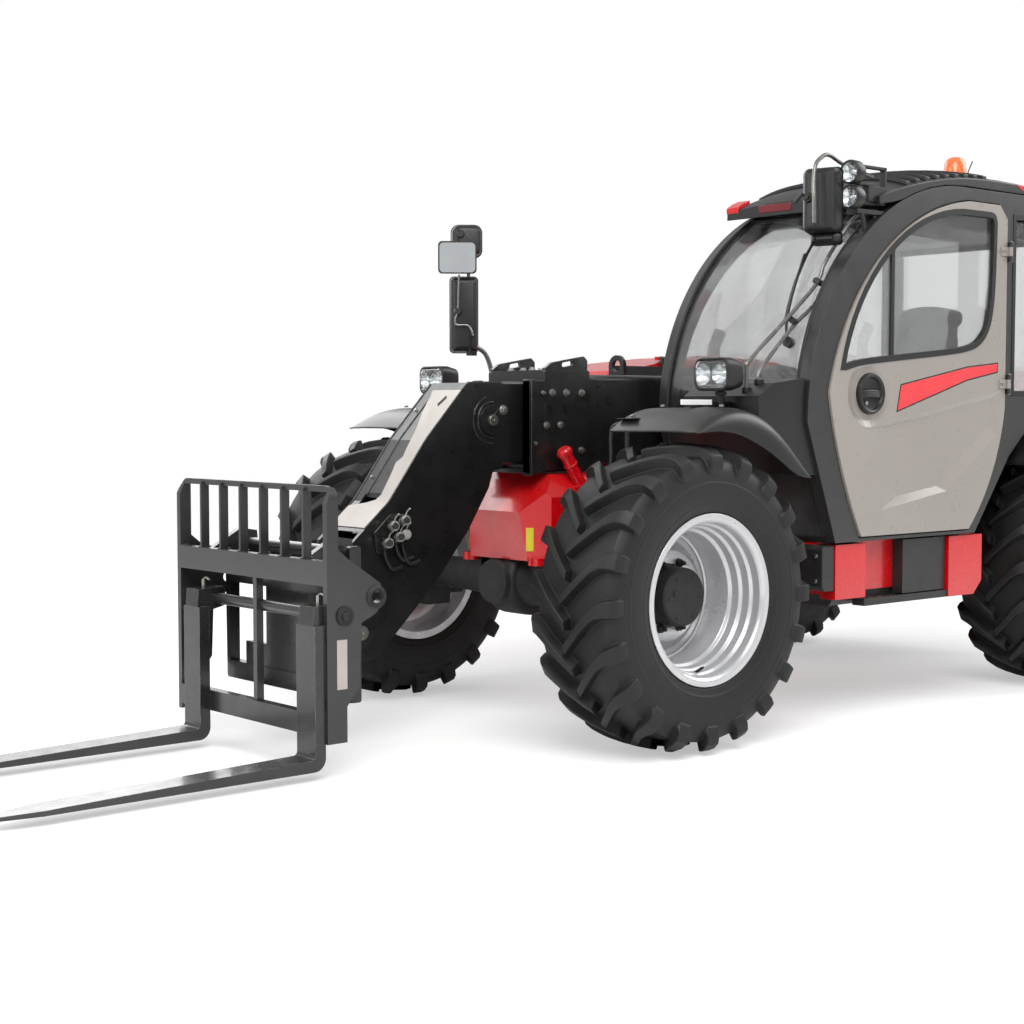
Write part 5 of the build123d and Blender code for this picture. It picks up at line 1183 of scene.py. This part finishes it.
def makeFenders():
    plan = fenderPlan
    bm = bmesh.new()
    for side in (1, -1):
        rings = []
        for (tx, tz), (lx, lz) in zip(plan["top"], plan["lip"]):
            outer, inner = [], []
            for way, share in plan["bend"]:
                y = plan["inner"] if way is None else plan["outer"] - way
                # a slight crown across the sheet
                lift = 0.006 * (1 - ((y - 0.895) / 0.24) ** 2) if share == 0 else 0.0
                x, z = tx + (lx - tx) * share, tz + (lz - tz) * share + lift
                outer.append(at(x, side * y, z))
                steep = min(1.0, share * 3)
                inner.append(at(x, side * (y - plan["sheet"] * steep), z - plan["sheet"] * (1 - 0.8 * steep)))
            rings.append([bm.verts.new(q) for q in outer + list(reversed(inner))])
        for a, b in zip(rings, rings[1:]):
            for k in range(len(a)):
                j = (k + 1) % len(a)
                bm.faces.new((a[k], a[j], b[j], b[k]))
        bm.faces.new(rings[0])
        bm.faces.new(list(reversed(rings[-1])))
    piece = finishPiece(bm, "front_fender_shells", fenderPlastic, "chassis", 1.2, 2, 50)
    piece.modifiers.new("smooth", "SUBSURF").levels = 1
    piece.modifiers["smooth"].render_levels = 1
    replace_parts(piece, "front_fenders")
    # stays: a round bar from the nose, out beside the tyre and up to the sheet
    bm = bmesh.new()
    for side in (1, -1):
        addTube(bm, smoothPath([at(x, side * y, z) for x, y, z in plan["stay"]], 5), 0.010, 14)
        addBox(bm, at(-0.040, side * 0.700 - 0.050, 1.296), at(0.060, side * 0.700 + 0.050, 1.300))
        addTube(bm, smoothPath([at(-0.300, side * 0.262, 0.930), at(-0.300, side * 0.330, 0.934), at(-0.300, side * 0.340, 0.980),
                                at(-0.300, side * 0.340, 1.240), at(-0.298, side * 0.352, 1.286),
                                at(-0.296, side * 0.420, 1.294), at(-0.296, side * 0.690, 1.296)], 5), 0.012, 14)
    finishPiece(bm, "front_fender_stays", boxBlack, "chassis")
    # bolts with washers through the sheets
    bm = bmesh.new()
    for side in (1, -1):
        for x, y, z, dx in ((0.020, 0.700, 1.305, 0.5), (-0.150, 0.700, 1.345, 0.0), (-0.290, 0.700, 1.319, -0.5),
                            (-0.150, 1.020, 1.345, 0.0), (-0.410, 0.720, 1.244, -0.8)):
            addNut(bm, at(x, side * y, z), (dx, 0, 1), 0.017, 0.009)
    finishPiece(bm, "front_fender_bolts", zincPlate, "chassis", 0.5)


def makeSill():
    # black cover in front of the red box
    bm = bmesh.new()
    flat = [(-0.818, 0.768), (-0.752, 0.768), (-0.740, 0.756), (-0.740, 0.600), (-0.756, 0.580), (-0.818, 0.576)]
    addPrism(bm, [(x + axleX, z) for x, z in flat], 0.800, 1.046)
    finishPiece(bm, "sill_front_cover", boxBlack, "chassis", 5.0, 3)
    bm = bmesh.new()
    for z in (0.622, 0.726):
        for y in (0.845, 1.010):
            addNut(bm, at(-0.740, y, z), (1, 0, 0), 0.016, 0.008)
    finishPiece(bm, "sill_bolts", zincPlate, "chassis", 0.5)


makeFenders()
makeSill()
print("fenders made")


# ------------------------------------------------- inside the cab

seatPlan = {"y0": 0.447, "y1": 0.793,
            "cushion": [(-1.352, 1.052), (-1.352, 1.096), (-1.370, 1.112), (-1.600, 1.106), (-1.858, 1.122),
                        (-1.858, 1.052)],
            "back": [(-1.884, 1.064), (-1.884, 1.140), (-1.902, 1.300), (-1.958, 1.790), (-1.985, 1.812), (-2.026, 1.812),
                     (-2.044, 1.790), (-1.984, 1.148), (-1.956, 1.064)],
            # the back's width by height: wings at its head, drawn in below them and over its top
            "wide": [(1.20, 1.00), (1.50, 1.06), (1.64, 1.08), (1.71, 1.02), (1.76, 1.12), (1.80, 1.08), (1.815, 0.90)],
            "crown": 0.022, "voxel": 0.006, "pressure": 4.0, "cap": 0.012}


def swell(piece, cap):
    # blow the shape up as a filled cover does, each point held within cap of where it began
    mesh = piece.data
    start = [v.co.copy() for v in mesh.vertices]
    cloth = piece.modifiers.new("fill", "CLOTH")
    cloth.settings.use_pressure = True
    cloth.settings.uniform_pressure_force = seatPlan["pressure"]
    cloth.settings.quality = 4
    cloth.settings.tension_stiffness = 12
    cloth.settings.effector_weights.gravity = 0
    for frameNumber in range(1, 21):
        bpy.context.scene.frame_set(frameNumber)
    done = piece.evaluated_get(bpy.context.evaluated_depsgraph_get())
    moved = [v.co.copy() for v in done.data.vertices]
    piece.modifiers.remove(cloth)
    bpy.context.scene.frame_set(1)
    for v, a, b in zip(mesh.vertices, start, moved):
        step = b - a
        v.co = a + step * min(1.0, cap / max(step.length, 1e-9))


def shoulders(mesh):
    # widen and round the seat's back by its height, and crown its top
    rows = seatPlan["wide"]
    centre, half = (seatPlan["y0"] + seatPlan["y1"]) / 2, (seatPlan["y1"] - seatPlan["y0"]) / 2
    for v in mesh.vertices:
        share = rows[0][1] if v.co.z < rows[0][0] else rows[-1][1]
        for (z0, w0), (z1, w1) in zip(rows, rows[1:]):
            if z0 <= v.co.z < z1:
                t = (v.co.z - z0) / (z1 - z0)
                share = w0 + (w1 - w0) * t * t * (3 - 2 * t)
        across = (v.co.y - centre) / half
        v.co.y = centre + (v.co.y - centre) * share
        v.co.z += seatPlan["crown"] * max(0.0, (v.co.z - 1.60) / 0.21) * (1 - across * across)


def makePad(name, outline, replaced, channels, seam, shape=None):
    plan = seatPlan
    bm = bmesh.new()
    addPrism(bm, [(x + axleX, z) for x, z in outline], plan["y0"], plan["y1"])
    piece = finishPiece(bm, name, seatCloth, "chassis")
    round1 = piece.modifiers.new("round", "BEVEL")
    round1.width = 0.020
    round1.segments = 3
    remesh = piece.modifiers.new("remesh", "REMESH")
    remesh.mode = "VOXEL"
    remesh.voxel_size = plan["voxel"]
    done = bpy.data.meshes.new_from_object(piece.evaluated_get(bpy.context.evaluated_depsgraph_get()))
    piece.modifiers.clear()
    piece.data = done
    done.materials.clear()
    done.materials.append(seatCloth)
    if shape:
        shape(done)
    swell(piece, plan["cap"])
    # sewn channels: the skin drawn in along lines across the pad
    for v in piece.data.vertices:
        pull = 0.0
        for place, axis, width, depth in channels:
            gap = abs(v.co[axis] - place)
            pull = max(pull, depth * max(0.0, 1 - gap / width) ** 2)
        if pull:
            v.co -= v.normal * pull
    for face in piece.data.polygons:
        face.use_smooth = True
    piece.modifiers.new("fine", "SUBSURF").levels = 1
    piece.modifiers["fine"].render_levels = 1
    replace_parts(piece, replaced)
    bm = bmesh.new()
    for path in seam:
        addTube(bm, smoothPath([at(*q) for q in path], 4), 0.0032, 8)
    finishPiece(bm, name + "_piping", sealRubber, "chassis")


def makeInside():
    y0, y1 = seatPlan["y0"], seatPlan["y1"]
    rim = 0.012
    makePad("seat_cushion_pad", seatPlan["cushion"], "seat_cushion",
            [(-1.48 + axleX, 0, 0.012, 0.007), (-1.62 + axleX, 0, 0.012, 0.007), (-1.76 + axleX, 0, 0.012, 0.007),
             (y0 + 0.075, 1, 0.012, 0.008), (y1 - 0.075, 1, 0.012, 0.008)],
            [[(-1.345, y0 + rim, 1.060), (-1.3425, 0.620, 1.060), (-1.345, y1 - rim, 1.060)]])
    makePad("seat_back_pad", seatPlan["back"], "seat_backrest",
            [(1.28, 2, 0.012, 0.007), (1.42, 2, 0.012, 0.007), (1.56, 2, 0.012, 0.007),
             (y0 + 0.070, 1, 0.012, 0.008), (y1 - 0.070, 1, 0.012, 0.008)],
            [[(-2.034, y0 + rim, 1.700), (-2.046, 0.620, 1.800), (-2.034, y1 - rim, 1.700)]], shoulders)
    # lining under the roof, with the lamp's housing
    bm = bmesh.new()
    lining = [(-1.400, 2.236), (-1.460, 2.190), (-1.600, 2.158), (-1.800, 2.140), (-2.285, 2.122), (-2.285, 2.236)]
    addPrism(bm, [(x + axleX, z) for x, z in lining], 0.262, 0.998)
    bump = [(-1.760, 2.146), (-1.785, 2.112), (-1.860, 2.104), (-1.950, 2.112), (-1.975, 2.136)]
    addPrism(bm, [(x + axleX, z) for x, z in bump], 0.545, 0.700)
    finishPiece(bm, "roof_lining", trimPlastic, "chassis", 10.0, 3)
    # trim on the right rear post and under the rear window's head
    bm = bmesh.new()
    addBox(bm, at(-2.306, 0.236, 1.120), at(-2.165, 0.250, 2.150))
    addBox(bm, at(-2.306, 0.250, 2.098), at(-2.286, 1.000, 2.150))
    finishPiece(bm, "rear_post_trim", trimPlastic, "chassis", 3.0)
    # arm rest with its joystick and switch panel, on the console
    bm = bmesh.new()
    arm = [(-1.400, 1.182), (-1.396, 1.214), (-1.420, 1.232), (-1.700, 1.246), (-1.740, 1.236), (-1.744, 1.182)]
    addPrism(bm, [(x + axleX, z) for x, z in arm], 0.334, 0.406)
    panel = [(-1.300, 1.200), (-1.306, 1.232), (-1.398, 1.226), (-1.398, 1.184)]
    addPrism(bm, [(x + axleX, z) for x, z in panel], 0.330, 0.410)
    finishPiece(bm, "arm_rest", trimPlastic, "chassis", 8.0, 3)
    bm = bmesh.new()
    addRound(bm, at(-1.350, 0.370, 1.238), (0, 0, 1), 0.026, 0.020, 24, 0.014)
    addTube(bm, smoothPath([at(-1.350, 0.370, 1.240), at(-1.346, 0.370, 1.290), at(-1.334, 0.370, 1.320)], 5), 0.009, 14)
    grip = [(1.305, 0.016), (1.330, 0.021), (1.360, 0.022), (1.388, 0.025), (1.404, 0.022), (1.412, 0.010)]
    addLoops(bm, [[at(-1.332 + (z - 1.305) * 0.25 + r * cos(2 * pi * k / 24), 0.370 + r * 0.85 * sin(2 * pi * k / 24), z)
                   for k in range(24)] for z, r in grip])
    for k in range(3):
        addRound(bm, at(-1.352 - 0.016 * k, 0.390, 1.234), (0, 0, 1), 0.006, 0.010, 12)
    # pedals on their arms
    for y in (0.500, 0.620, 0.760):
        addTube(bm, smoothPath([at(-0.900, y, 1.120), at(-0.960, y, 1.020), at(-0.985, y, 0.900)], 4), 0.008, 10)
        addPrism(bm, [(x + axleX, z) for x, z in ((-1.000, 0.868), (-0.984, 0.862), (-0.962, 0.934), (-0.978, 0.940))],
                 y - 0.038, y + 0.038)
    finishPiece(bm, "joystick_and_pedals", trimPlastic, "chassis", 2.0)
    # face of the instrument panel
    bm = bmesh.new()
    face = [(-0.905, 1.272), (-0.900, 1.286), (-0.770, 1.302), (-0.764, 1.290)]
    addPrism(bm, [(x + axleX, z) for x, z in face], 0.450, 0.790)
    finishPiece(bm, "instrument_panel", trimPlastic, "chassis", 3.0)


makeInside()
print("cab inside made")


# ------------------------------------------------- lamps, mirrors, plates

workLampPlan = {"heights": (2.214, 2.316)}
headLampPlan = {"x": -0.270, "y": 0.905, "z": 1.474, "width": 0.184, "height": 0.132}


def makeHeadLamps():
    for side, label in ((1, "left"), (-1, "right")):
        plan = headLampPlan
        y = side * plan["y"]
        front = plan["x"] + 0.060

        def loop(x, grow, corner):
            return [at(x, y + u, plan["z"] + v) for u, v in
                    roundedLoop(plan["width"] + 2 * grow, plan["height"] + 2 * grow, corner)]

        bm = bmesh.new()
        addLoops(bm, [loop(front - 0.120, -0.030, 0.020), loop(front - 0.105, -0.012, 0.030),
                      loop(front - 0.050, 0.0, 0.034), loop(front - 0.004, 0.0, 0.034), loop(front, -0.004, 0.032),
                      loop(front - 0.001, -0.010, 0.028), loop(front - 0.030, -0.016, 0.024)])
        addRound(bm, at(plan["x"], y, 1.370), (0, 0, 1), 0.016, 0.080, 20)
        addRound(bm, at(plan["x"], y, 1.398), (0, 0, 1), 0.024, 0.016, 6)
        finishPiece(bm, "head_lamp_case_" + label, trimPlastic, "chassis", 2.0)
        bm = bmesh.new()
        for dy, r in ((-0.040, 0.041), (0.044, 0.036)):
            bowl = [(front - 0.030 + 0.024 * (t / 6) ** 2, r * t / 6) for t in range(1, 7)]
            rings = [[bm.verts.new(at(x, y + side * dy + rr * cos(2 * pi * k / 32), plan["z"] + rr * sin(2 * pi * k / 32)))
                      for k in range(32)] for x, rr in bowl]
            for a, b in zip(rings, rings[1:]):
                for k in range(32):
                    j = (k + 1) % 32
                    bm.faces.new((a[k], a[j], b[j], b[k]))
            bm.faces.new(rings[0])
            addRound(bm, at(front - 0.024, y + side * dy, plan["z"]), (1, 0, 0), 0.010, 0.012, 16, 0.007)
        finishPiece(bm, "head_lamp_bowls_" + label, mirrorGlass, "chassis", 0, 1, 60)
        bm = bmesh.new()
        addLoops(bm, [loop(front - 0.004, -0.0125, 0.026), loop(front + 0.004, -0.014, 0.026),
                      loop(front + 0.009, -0.026, 0.022), loop(front + 0.011, -0.050, 0.012)])
        finishPiece(bm, "head_lamp_lens_" + label, lampLens, "chassis", 0, 1, 60)
    bm = bmesh.new()
    for z in workLampPlan["heights"]:
        addTurned90(bm, at(-0.948, 1.046, z), [(0.0, 0.020), (0.006, 0.044), (0.020, 0.049), (0.058, 0.050), (0.066, 0.047),
                                               (0.066, 0.043), (0.056, 0.041)])
    # bracket: an open frame of flat bar behind both lamps, a junction box and the arm to the cab's frame
    frameBars = [((-1.139, 2.193), (-1.128, 2.354)), ((-1.139, 2.343), (-0.985, 2.354)),
                 ((-1.139, 2.193), (-0.960, 2.206)), ((-1.060, 2.270), (-0.960, 2.280))]
    for (x0, z0), (x1, z1) in frameBars:
        addBox(bm, at(x0, 1.016, z0), at(x1, 1.044, z1))
    addBox(bm, at(-1.128, 1.002, 2.206), at(-1.010, 1.052, 2.268))
    addBox(bm, at(-1.105, 1.000, 2.150), at(-0.930, 1.056, 2.168))
    addTube(bm, smoothPath([at(-0.960, 1.046, 2.165), at(-0.985, 1.044, 2.120), at(-1.000, 1.040, 2.075),
                            at(-1.010, 1.030, 2.035)], 5), 0.010, 12)
    case = finishPiece(bm, "work_lamp_cases", trimPlastic, "chassis", 1.0)
    bm = bmesh.new()
    for z in workLampPlan["heights"]:
        addTurned90(bm, at(-0.948, 1.046, z), [(0.034, 0.002), (0.036, 0.014), (0.042, 0.028), (0.056, 0.041)])
        addRound(bm, at(-0.908, 1.046, z), (1, 0, 0), 0.009, 0.014, 16, 0.006)
    finishPiece(bm, "work_lamp_bowls", mirrorGlass, "chassis", 0, 1, 60)
    bm = bmesh.new()
    for z in workLampPlan["heights"]:
        addTurned90(bm, at(-0.948, 1.046, z), [(0.056, 0.042), (0.062, 0.0415), (0.067, 0.030), (0.069, 0.002)])
    finishPiece(bm, "work_lamp_lenses", lampLens, "chassis", 0, 1, 60)
    # tail lamps
    for side, label in ((1, "left"), (-1, "right")):
        bm = bmesh.new()
        addBox(bm, at(-3.298, side * 0.980 - 0.078, 1.112), at(-3.242, side * 0.980 + 0.078, 1.198))
        addBox(bm, at(-3.256, side * 0.980 - 0.040, 1.080), at(-3.212, side * 0.980 + 0.040, 1.130))
        finishPiece(bm, "tail_lamp_case_" + label, trimPlastic, "chassis", 6.0, 3)
        bm = bmesh.new()
        addBox(bm, at(-3.2998, side * 0.980 - 0.070, 1.120), at(-3.290, side * 0.980 + 0.020, 1.190))
        finishPiece(bm, "tail_lamp_red_" + label, tailLens, "chassis", 3.0, 3)
        bm = bmesh.new()
        addBox(bm, at(-3.2998, side * 0.980 + 0.024, 1.120), at(-3.290, side * 0.980 + 0.070, 1.190))
        finishPiece(bm, "tail_lamp_amber_" + label, beaconLens, "chassis", 3.0, 3)
    return case


def addTurned90(bm, foot, profile, segments=36):
    # a profile of (way forward, radius) turned about x
    rings = [[bm.verts.new((foot.x + out, foot.y + r * cos(2 * pi * k / segments), foot.z + r * sin(2 * pi * k / segments)))
              for k in range(segments)] for out, r in profile]
    for a, b in zip(rings, rings[1:]):
        for k in range(segments):
            j = (k + 1) % segments
            bm.faces.new((a[k], a[j], b[j], b[k]))
    bm.faces.new(list(reversed(rings[0])))


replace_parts(makeHeadLamps(), "lamps")


def makeBeacon():
    low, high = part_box("beacon")
    cx, cy = (low[0] + high[0]) / 2, (low[1] + high[1]) / 2
    r = (high[0] - low[0]) / 2
    tall = high[2] - low[2]
    for name, profile, material, slot in (
            ("beacon_base", [(-0.16, r * 0.98), (0.10, r * 0.95), (0.24, r), (0.30, r), (0.33, r * 0.92), (0.34, r * 0.4)],
             trimPlastic, "black_plastic"),
            ("beacon_lens", [(0.32, r * 0.88), (0.55, r * 0.86), (0.80, r * 0.80), (0.93, r * 0.62), (1.0, r * 0.30),
                             (1.0, r * 0.02)], beaconLens, "orange_lens"),
            ("beacon_lamp", [(0.34, r * 0.30), (0.55, r * 0.30), (0.70, r * 0.18), (0.70, r * 0.02)], mirrorGlass,
             "chromed_rod")):
        bm = bmesh.new()
        rings = [[bm.verts.new((cx + rr * cos(2 * pi * k / 48), cy + rr * sin(2 * pi * k / 48), low[2] + up * tall))
                  for k in range(48)] for up, rr in profile]
        for a, b in zip(rings, rings[1:]):
            for k in range(48):
                j = (k + 1) % 48
                bm.faces.new((a[k], a[j], b[j], b[k]))
        bm.faces.new(list(reversed(rings[0])))
        bm.faces.new(rings[-1])
        piece = finishPiece(bm, name, material, "chassis", 1.5, 2, 40)
        if name == "beacon_lens":
            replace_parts(piece, "beacon")


makeBeacon()


mirrorPlan = {
    # cases: centre, way the back looks in degrees, width, height, thickness, corner radius
    "leftCase": ((-0.812, 0.960, 2.200), 15, 0.160, 0.270, 0.070, 0.030),
    "leftFoot": ((-0.838, 0.960, 2.044), 15, 0.126, 0.046, 0.060, 0.012),
    "rightLow": ((-0.450, -0.950, 1.795), 52, 0.133, 0.366, 0.060, 0.022),
    "rightHigh": ((-0.467, -0.950, 2.152), 52, 0.147, 0.156, 0.070, 0.040),
    "rightFront": ((-0.393, -0.930, 2.066), 52, 0.186, 0.156, 0.034, 0.020),
    "hoop": [(-0.732, 0.992, 2.100), (-0.728, 0.992, 2.200), (-0.734, 0.985, 2.263), (-0.749, 0.980, 2.335),
             (-0.790, 0.976, 2.372), (-0.844, 0.974, 2.388), (-0.942, 0.976, 2.356), (-1.076, 1.020, 2.313)],
    "stays": [[(-0.372, 0.950, 1.395), (-0.373, 0.950, 1.500), (-0.400, 0.950, 1.540), (-0.635, 0.950, 1.721),
               (-0.802, 0.950, 1.858), (-0.843, 0.952, 1.936), (-0.918, 0.958, 2.031), (-0.982, 0.985, 2.125),
               (-1.010, 1.010, 2.160)],
              [(-0.424, 0.970, 1.425), (-0.430, 0.970, 1.490), (-0.635, 0.965, 1.673), (-0.760, 0.965, 1.760),
               (-0.877, 0.970, 1.876), (-0.974, 0.985, 1.992), (-1.061, 1.015, 2.096), (-1.085, 1.030, 2.155)]],
    "rightArm": [(-0.789, -0.900, 1.370), (-0.700, -0.900, 1.370), (-0.628, -0.900, 1.376), (-0.600, -0.900, 1.420),
                 (-0.586, -0.905, 1.520), (-0.560, -0.915, 1.600), (-0.520, -0.925, 1.632), (-0.470, -0.930, 1.640)],
    # bent rod on the back of the lower right case, in metres across and up from its middle
    "rod": [(-0.024, 0.190), (-0.028, 0.090), (-0.030, 0.014), (-0.042, -0.022), (-0.038, -0.050), (0.000, -0.052),
            (0.020, -0.056), (0.036, -0.080), (0.042, -0.104)]}


def onPanel(centre, yawDeg, across, up, out):
    # a place on an upright panel: across to its own left, up, and out of its back
    a = radians(yawDeg)
    return at(*centre) + Vector((-sin(a) * across + cos(a) * out, cos(a) * across + sin(a) * out, up))


def addCase(bm, case):
    # mirror case with a crowned back and a rim round the glass
    centre, yawDeg, width, height, thick, corner = case
    steps = [(-0.50, 0.004, 0.0), (-0.50, 0.000, 0.0), (-0.30, 0.000, 0.0), (0.10, -0.002, 0.0), (0.34, -0.008, 0.004),
             (0.46, -0.018, 0.008), (0.50, -0.030, 0.010)]
    loops = []
    for out, grow, shift in steps:
        flat = roundedLoop(width + 2 * grow, height + 2 * grow, max(0.004, min(corner, corner + grow)))
        loops.append([onPanel(centre, yawDeg, u + shift, v, out * thick) for u, v in flat])
    addLoops(bm, loops)


def addGlass(bm, case, side):
    # the silvered sheet, on the back (1) or in the rim (-1)
    centre, yawDeg, width, height, thick, corner = case
    loops = []
    for out, grow in ((0.48, -0.010), (0.54, -0.010), (0.545, -0.012)):
        flat = roundedLoop(width + 2 * grow, height + 2 * grow, max(0.004, corner - 0.006))
        loops.append([onPanel(centre, yawDeg, u * side, v, out * thick * side) for u, v in flat])
    addLoops(bm, loops)


def makeMirrors():
    plan = mirrorPlan
    bm = bmesh.new()
    for name in ("leftCase", "leftFoot", "rightLow", "rightHigh"):
        addCase(bm, plan[name])
    # frame of the square glass that looks ahead
    centre, yawDeg, width, height, thick, corner = plan["rightFront"]
    addLoops(bm, [[onPanel(centre, yawDeg, u, v, out * thick) for u, v in
                   roundedLoop(width + 2 * grow, height + 2 * grow, corner)]
                  for out, grow in ((-0.5, -0.030), (-0.3, -0.006), (0.2, 0.0), (0.5, 0.0), (0.5, -0.006), (0.3, -0.008))])
    # ribs and the clamp on the left case's back, and clamps on the right
    foot = plan["leftCase"]
    for across in (-0.010, 0.004, 0.040):
        addTube(bm, [onPanel(foot[0], foot[1], across, v, 0.0345) for v in (-0.105, 0.0, 0.105)], 0.0035, 8)
    out = onPanel(foot[0], foot[1], -0.040, 0.010, 0.060) - onPanel(foot[0], foot[1], -0.040, 0.010, 0.0)
    addRound(bm, onPanel(foot[0], foot[1], -0.040, 0.010, 0.036), out, 0.024, 0.030, 24, 0.018)
    addRound(bm, onPanel(foot[0], foot[1], -0.040, 0.010, 0.056), out, 0.012, 0.016, 20, 0.010)
    addRound(bm, onPanel(foot[0], foot[1], -0.074, 0.010, 0.056), out.orthogonal(), 0.008, 0.050, 16)
    low = plan["rightLow"]
    out = onPanel(low[0], low[1], 0, 0, 1) - onPanel(low[0], low[1], 0, 0, 0)
    addRound(bm, onPanel(low[0], low[1], -0.030, 0.014, 0.040), out, 0.020, 0.022, 24, 0.016)
    addBox(bm, at(-0.494, -0.935, 1.596), at(-0.452, -0.905, 1.690))
    addRound(bm, at(-0.470, -0.918, 1.640), (0, 1, 0), 0.012, 0.050, 18)
    high = plan["rightHigh"]
    addRound(bm, onPanel(high[0], high[1], -0.030, 0.030, 0.036), out, 0.022, 0.022, 24, 0.016)
    piece = finishPiece(bm, "mirror_cases", trimPlastic, "chassis", 1.5)
    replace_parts(piece, "mirrors")
    bm = bmesh.new()
    for name in ("leftCase", "leftFoot", "rightLow", "rightHigh"):
        addGlass(bm, plan[name], -1)
    addLoops(bm, [[onPanel(centre, yawDeg, u, v, out * thick) for u, v in
                   roundedLoop(width - 0.014, height - 0.014, corner - 0.006)] for out in (0.32, 0.42)])
    finishPiece(bm, "mirror_glasses", mirrorGlass, "chassis")
    # stays and hoop of tube, coloured grey as painted highlight of the black tube
    bm = bmesh.new()
    addTube(bm, smoothPath([at(*q) for q in plan["hoop"]], 5), 0.0085, 14)
    for stay in plan["stays"]:
        addTube(bm, smoothPath([at(*q) for q in stay], 5), 0.0085, 14)
    addTube(bm, smoothPath([at(*q) for q in plan["rightArm"]], 6), 0.012, 16)
    addTube(bm, [at(-0.470, -0.940, 1.600), at(-0.470, -0.940, 2.190)], 0.009, 14)
    addTube(bm, smoothPath([onPanel(low[0], low[1], u, v, 0.046) for u, v in plan["rod"]], 5), 0.005, 10)
    finishPiece(bm, "mirror_tubes", tubeHighlightGrey, "chassis")
    bm = bmesh.new()
    for x, y, z in ((-0.802, 0.957, 1.864), (-0.640, 0.957, 1.700), (-1.000, 0.985, 2.085)):
        # clips that hold both stays together
        addRound(bm, at(x, y, z), (0.3, 1, -0.4), 0.013, 0.046, 20)
        addRound(bm, at(x, y + 0.024, z - 0.008), (0.3, 1, -0.4), 0.008, 0.012, 6)
    addRound(bm, at(-0.372, 0.950, 1.412), (0, 0, 1), 0.020, 0.020, 20)
    addRound(bm, at(-0.424, 0.970, 1.444), (0, 0, 1), 0.020, 0.020, 20)
    finishPiece(bm, "mirror_clips", trimPlastic, "chassis", 1.0)


makeMirrors()
print("mirrors made")


nosePlan = {"front": 0.1555, "half": 0.1655, "low": 0.742, "high": 0.840, "plates": [(1, 0.185, 0.208), (-1, 0.190, 0.214)],
            # filler neck: foot, top, radius
            "neck": ((-0.128, 0.240, 1.009), (-0.036, 0.240, 1.147), 0.031)}


def makePlates():
    plan = nosePlan
    # two reflective plates on the bevelled corners of the nose
    bm = bmesh.new()
    for side, y0, y1 in plan["plates"]:
        loop = []
        for y in (y0, y1):
            # the bevel runs back as fast as it runs out
            x = plan["front"] - (y - plan["half"])
            for lift in (0.0, 0.002):
                loop.append((x + lift * 0.707, side * (y + lift * 0.707)))
        ring = [loop[0], loop[2], loop[3], loop[1]]
        low = [bm.verts.new(at(x, y, plan["low"])) for x, y in ring]
        high = [bm.verts.new(at(x, y, plan["high"])) for x, y in ring]
        bm.faces.new(low)
        bm.faces.new(list(reversed(high)))
        for k in range(4):
            bm.faces.new((low[k], high[k], high[(k + 1) % 4], low[(k + 1) % 4]))
    finishPiece(bm, "nose_reflectors", plateYellow, "chassis", 0.5)
    # filler neck that leans forward beside the boom, with its cap
    foot, top, radius = plan["neck"]
    bm = bmesh.new()
    along = (Vector(top) - Vector(foot)).normalized()
    addTube(bm, [at(*foot), at(*top)], radius * 0.86, 28)
    for place, wide, tall in ((0.004, 1.12, 0.012), (0.112, 1.0, 0.006)):
        addRound(bm, at(*foot) + along * place, along, radius * wide, tall, 28)
    cap = at(*top) + along * 0.006
    addRound(bm, cap, along, radius, 0.026, 28)
    addRound(bm, cap + along * 0.016, along, radius * 0.96, 0.008, 28, radius * 0.80)
    for k in range(10):
        turn = 2 * pi * k / 10
        side = along.orthogonal().normalized()
        out = side * cos(turn) + along.cross(side) * sin(turn)
        addTube(bm, [cap - along * 0.010 + out * radius, cap + along * 0.012 + out * radius], 0.0028, 8)
    finishPiece(bm, "filler_neck", enamelRed, "chassis", 1.0)
    # strap that carries the neck from the nose's top
    bm = bmesh.new()
    addBox(bm, at(-0.150, 0.190, 1.004), at(-0.090, 0.262, 1.012))
    addBox(bm, at(-0.150, 0.190, 0.960), at(-0.142, 0.262, 1.010))
    finishPiece(bm, "filler_strap", enamelRed, "chassis", 1.0)
    # white marker plate that stands at the end of a dark bar along the fender's top
    bm = bmesh.new()
    addBox(bm, at(-0.222, 0.897, 1.352), at(-0.048, 0.903, 1.373))
    finishPiece(bm, "marker_plate", plateWhite, "chassis", 0.8)
    bm = bmesh.new()
    addBox(bm, at(-0.170, 0.885, 1.338), at(-0.110, 0.897, 1.362))
    addBox(bm, at(-0.545, 0.885, 1.328), at(-0.205, 0.897, 1.366))
    for x, low in ((-0.250, 1.318), (-0.330, 1.282)):
        addBox(bm, at(x - 0.016, 0.876, low), at(x + 0.016, 0.886, 1.350))
    finishPiece(bm, "marker_bar", trimPlastic, "chassis", 2.0)
    bm = bmesh.new()
    addBox(bm, at(-0.490, 0.897, 1.334), at(-0.468, 0.900, 1.360))
    finishPiece(bm, "marker_end", plateWhite, "chassis", 0.5)


makePlates()
print("lamps and plates made")
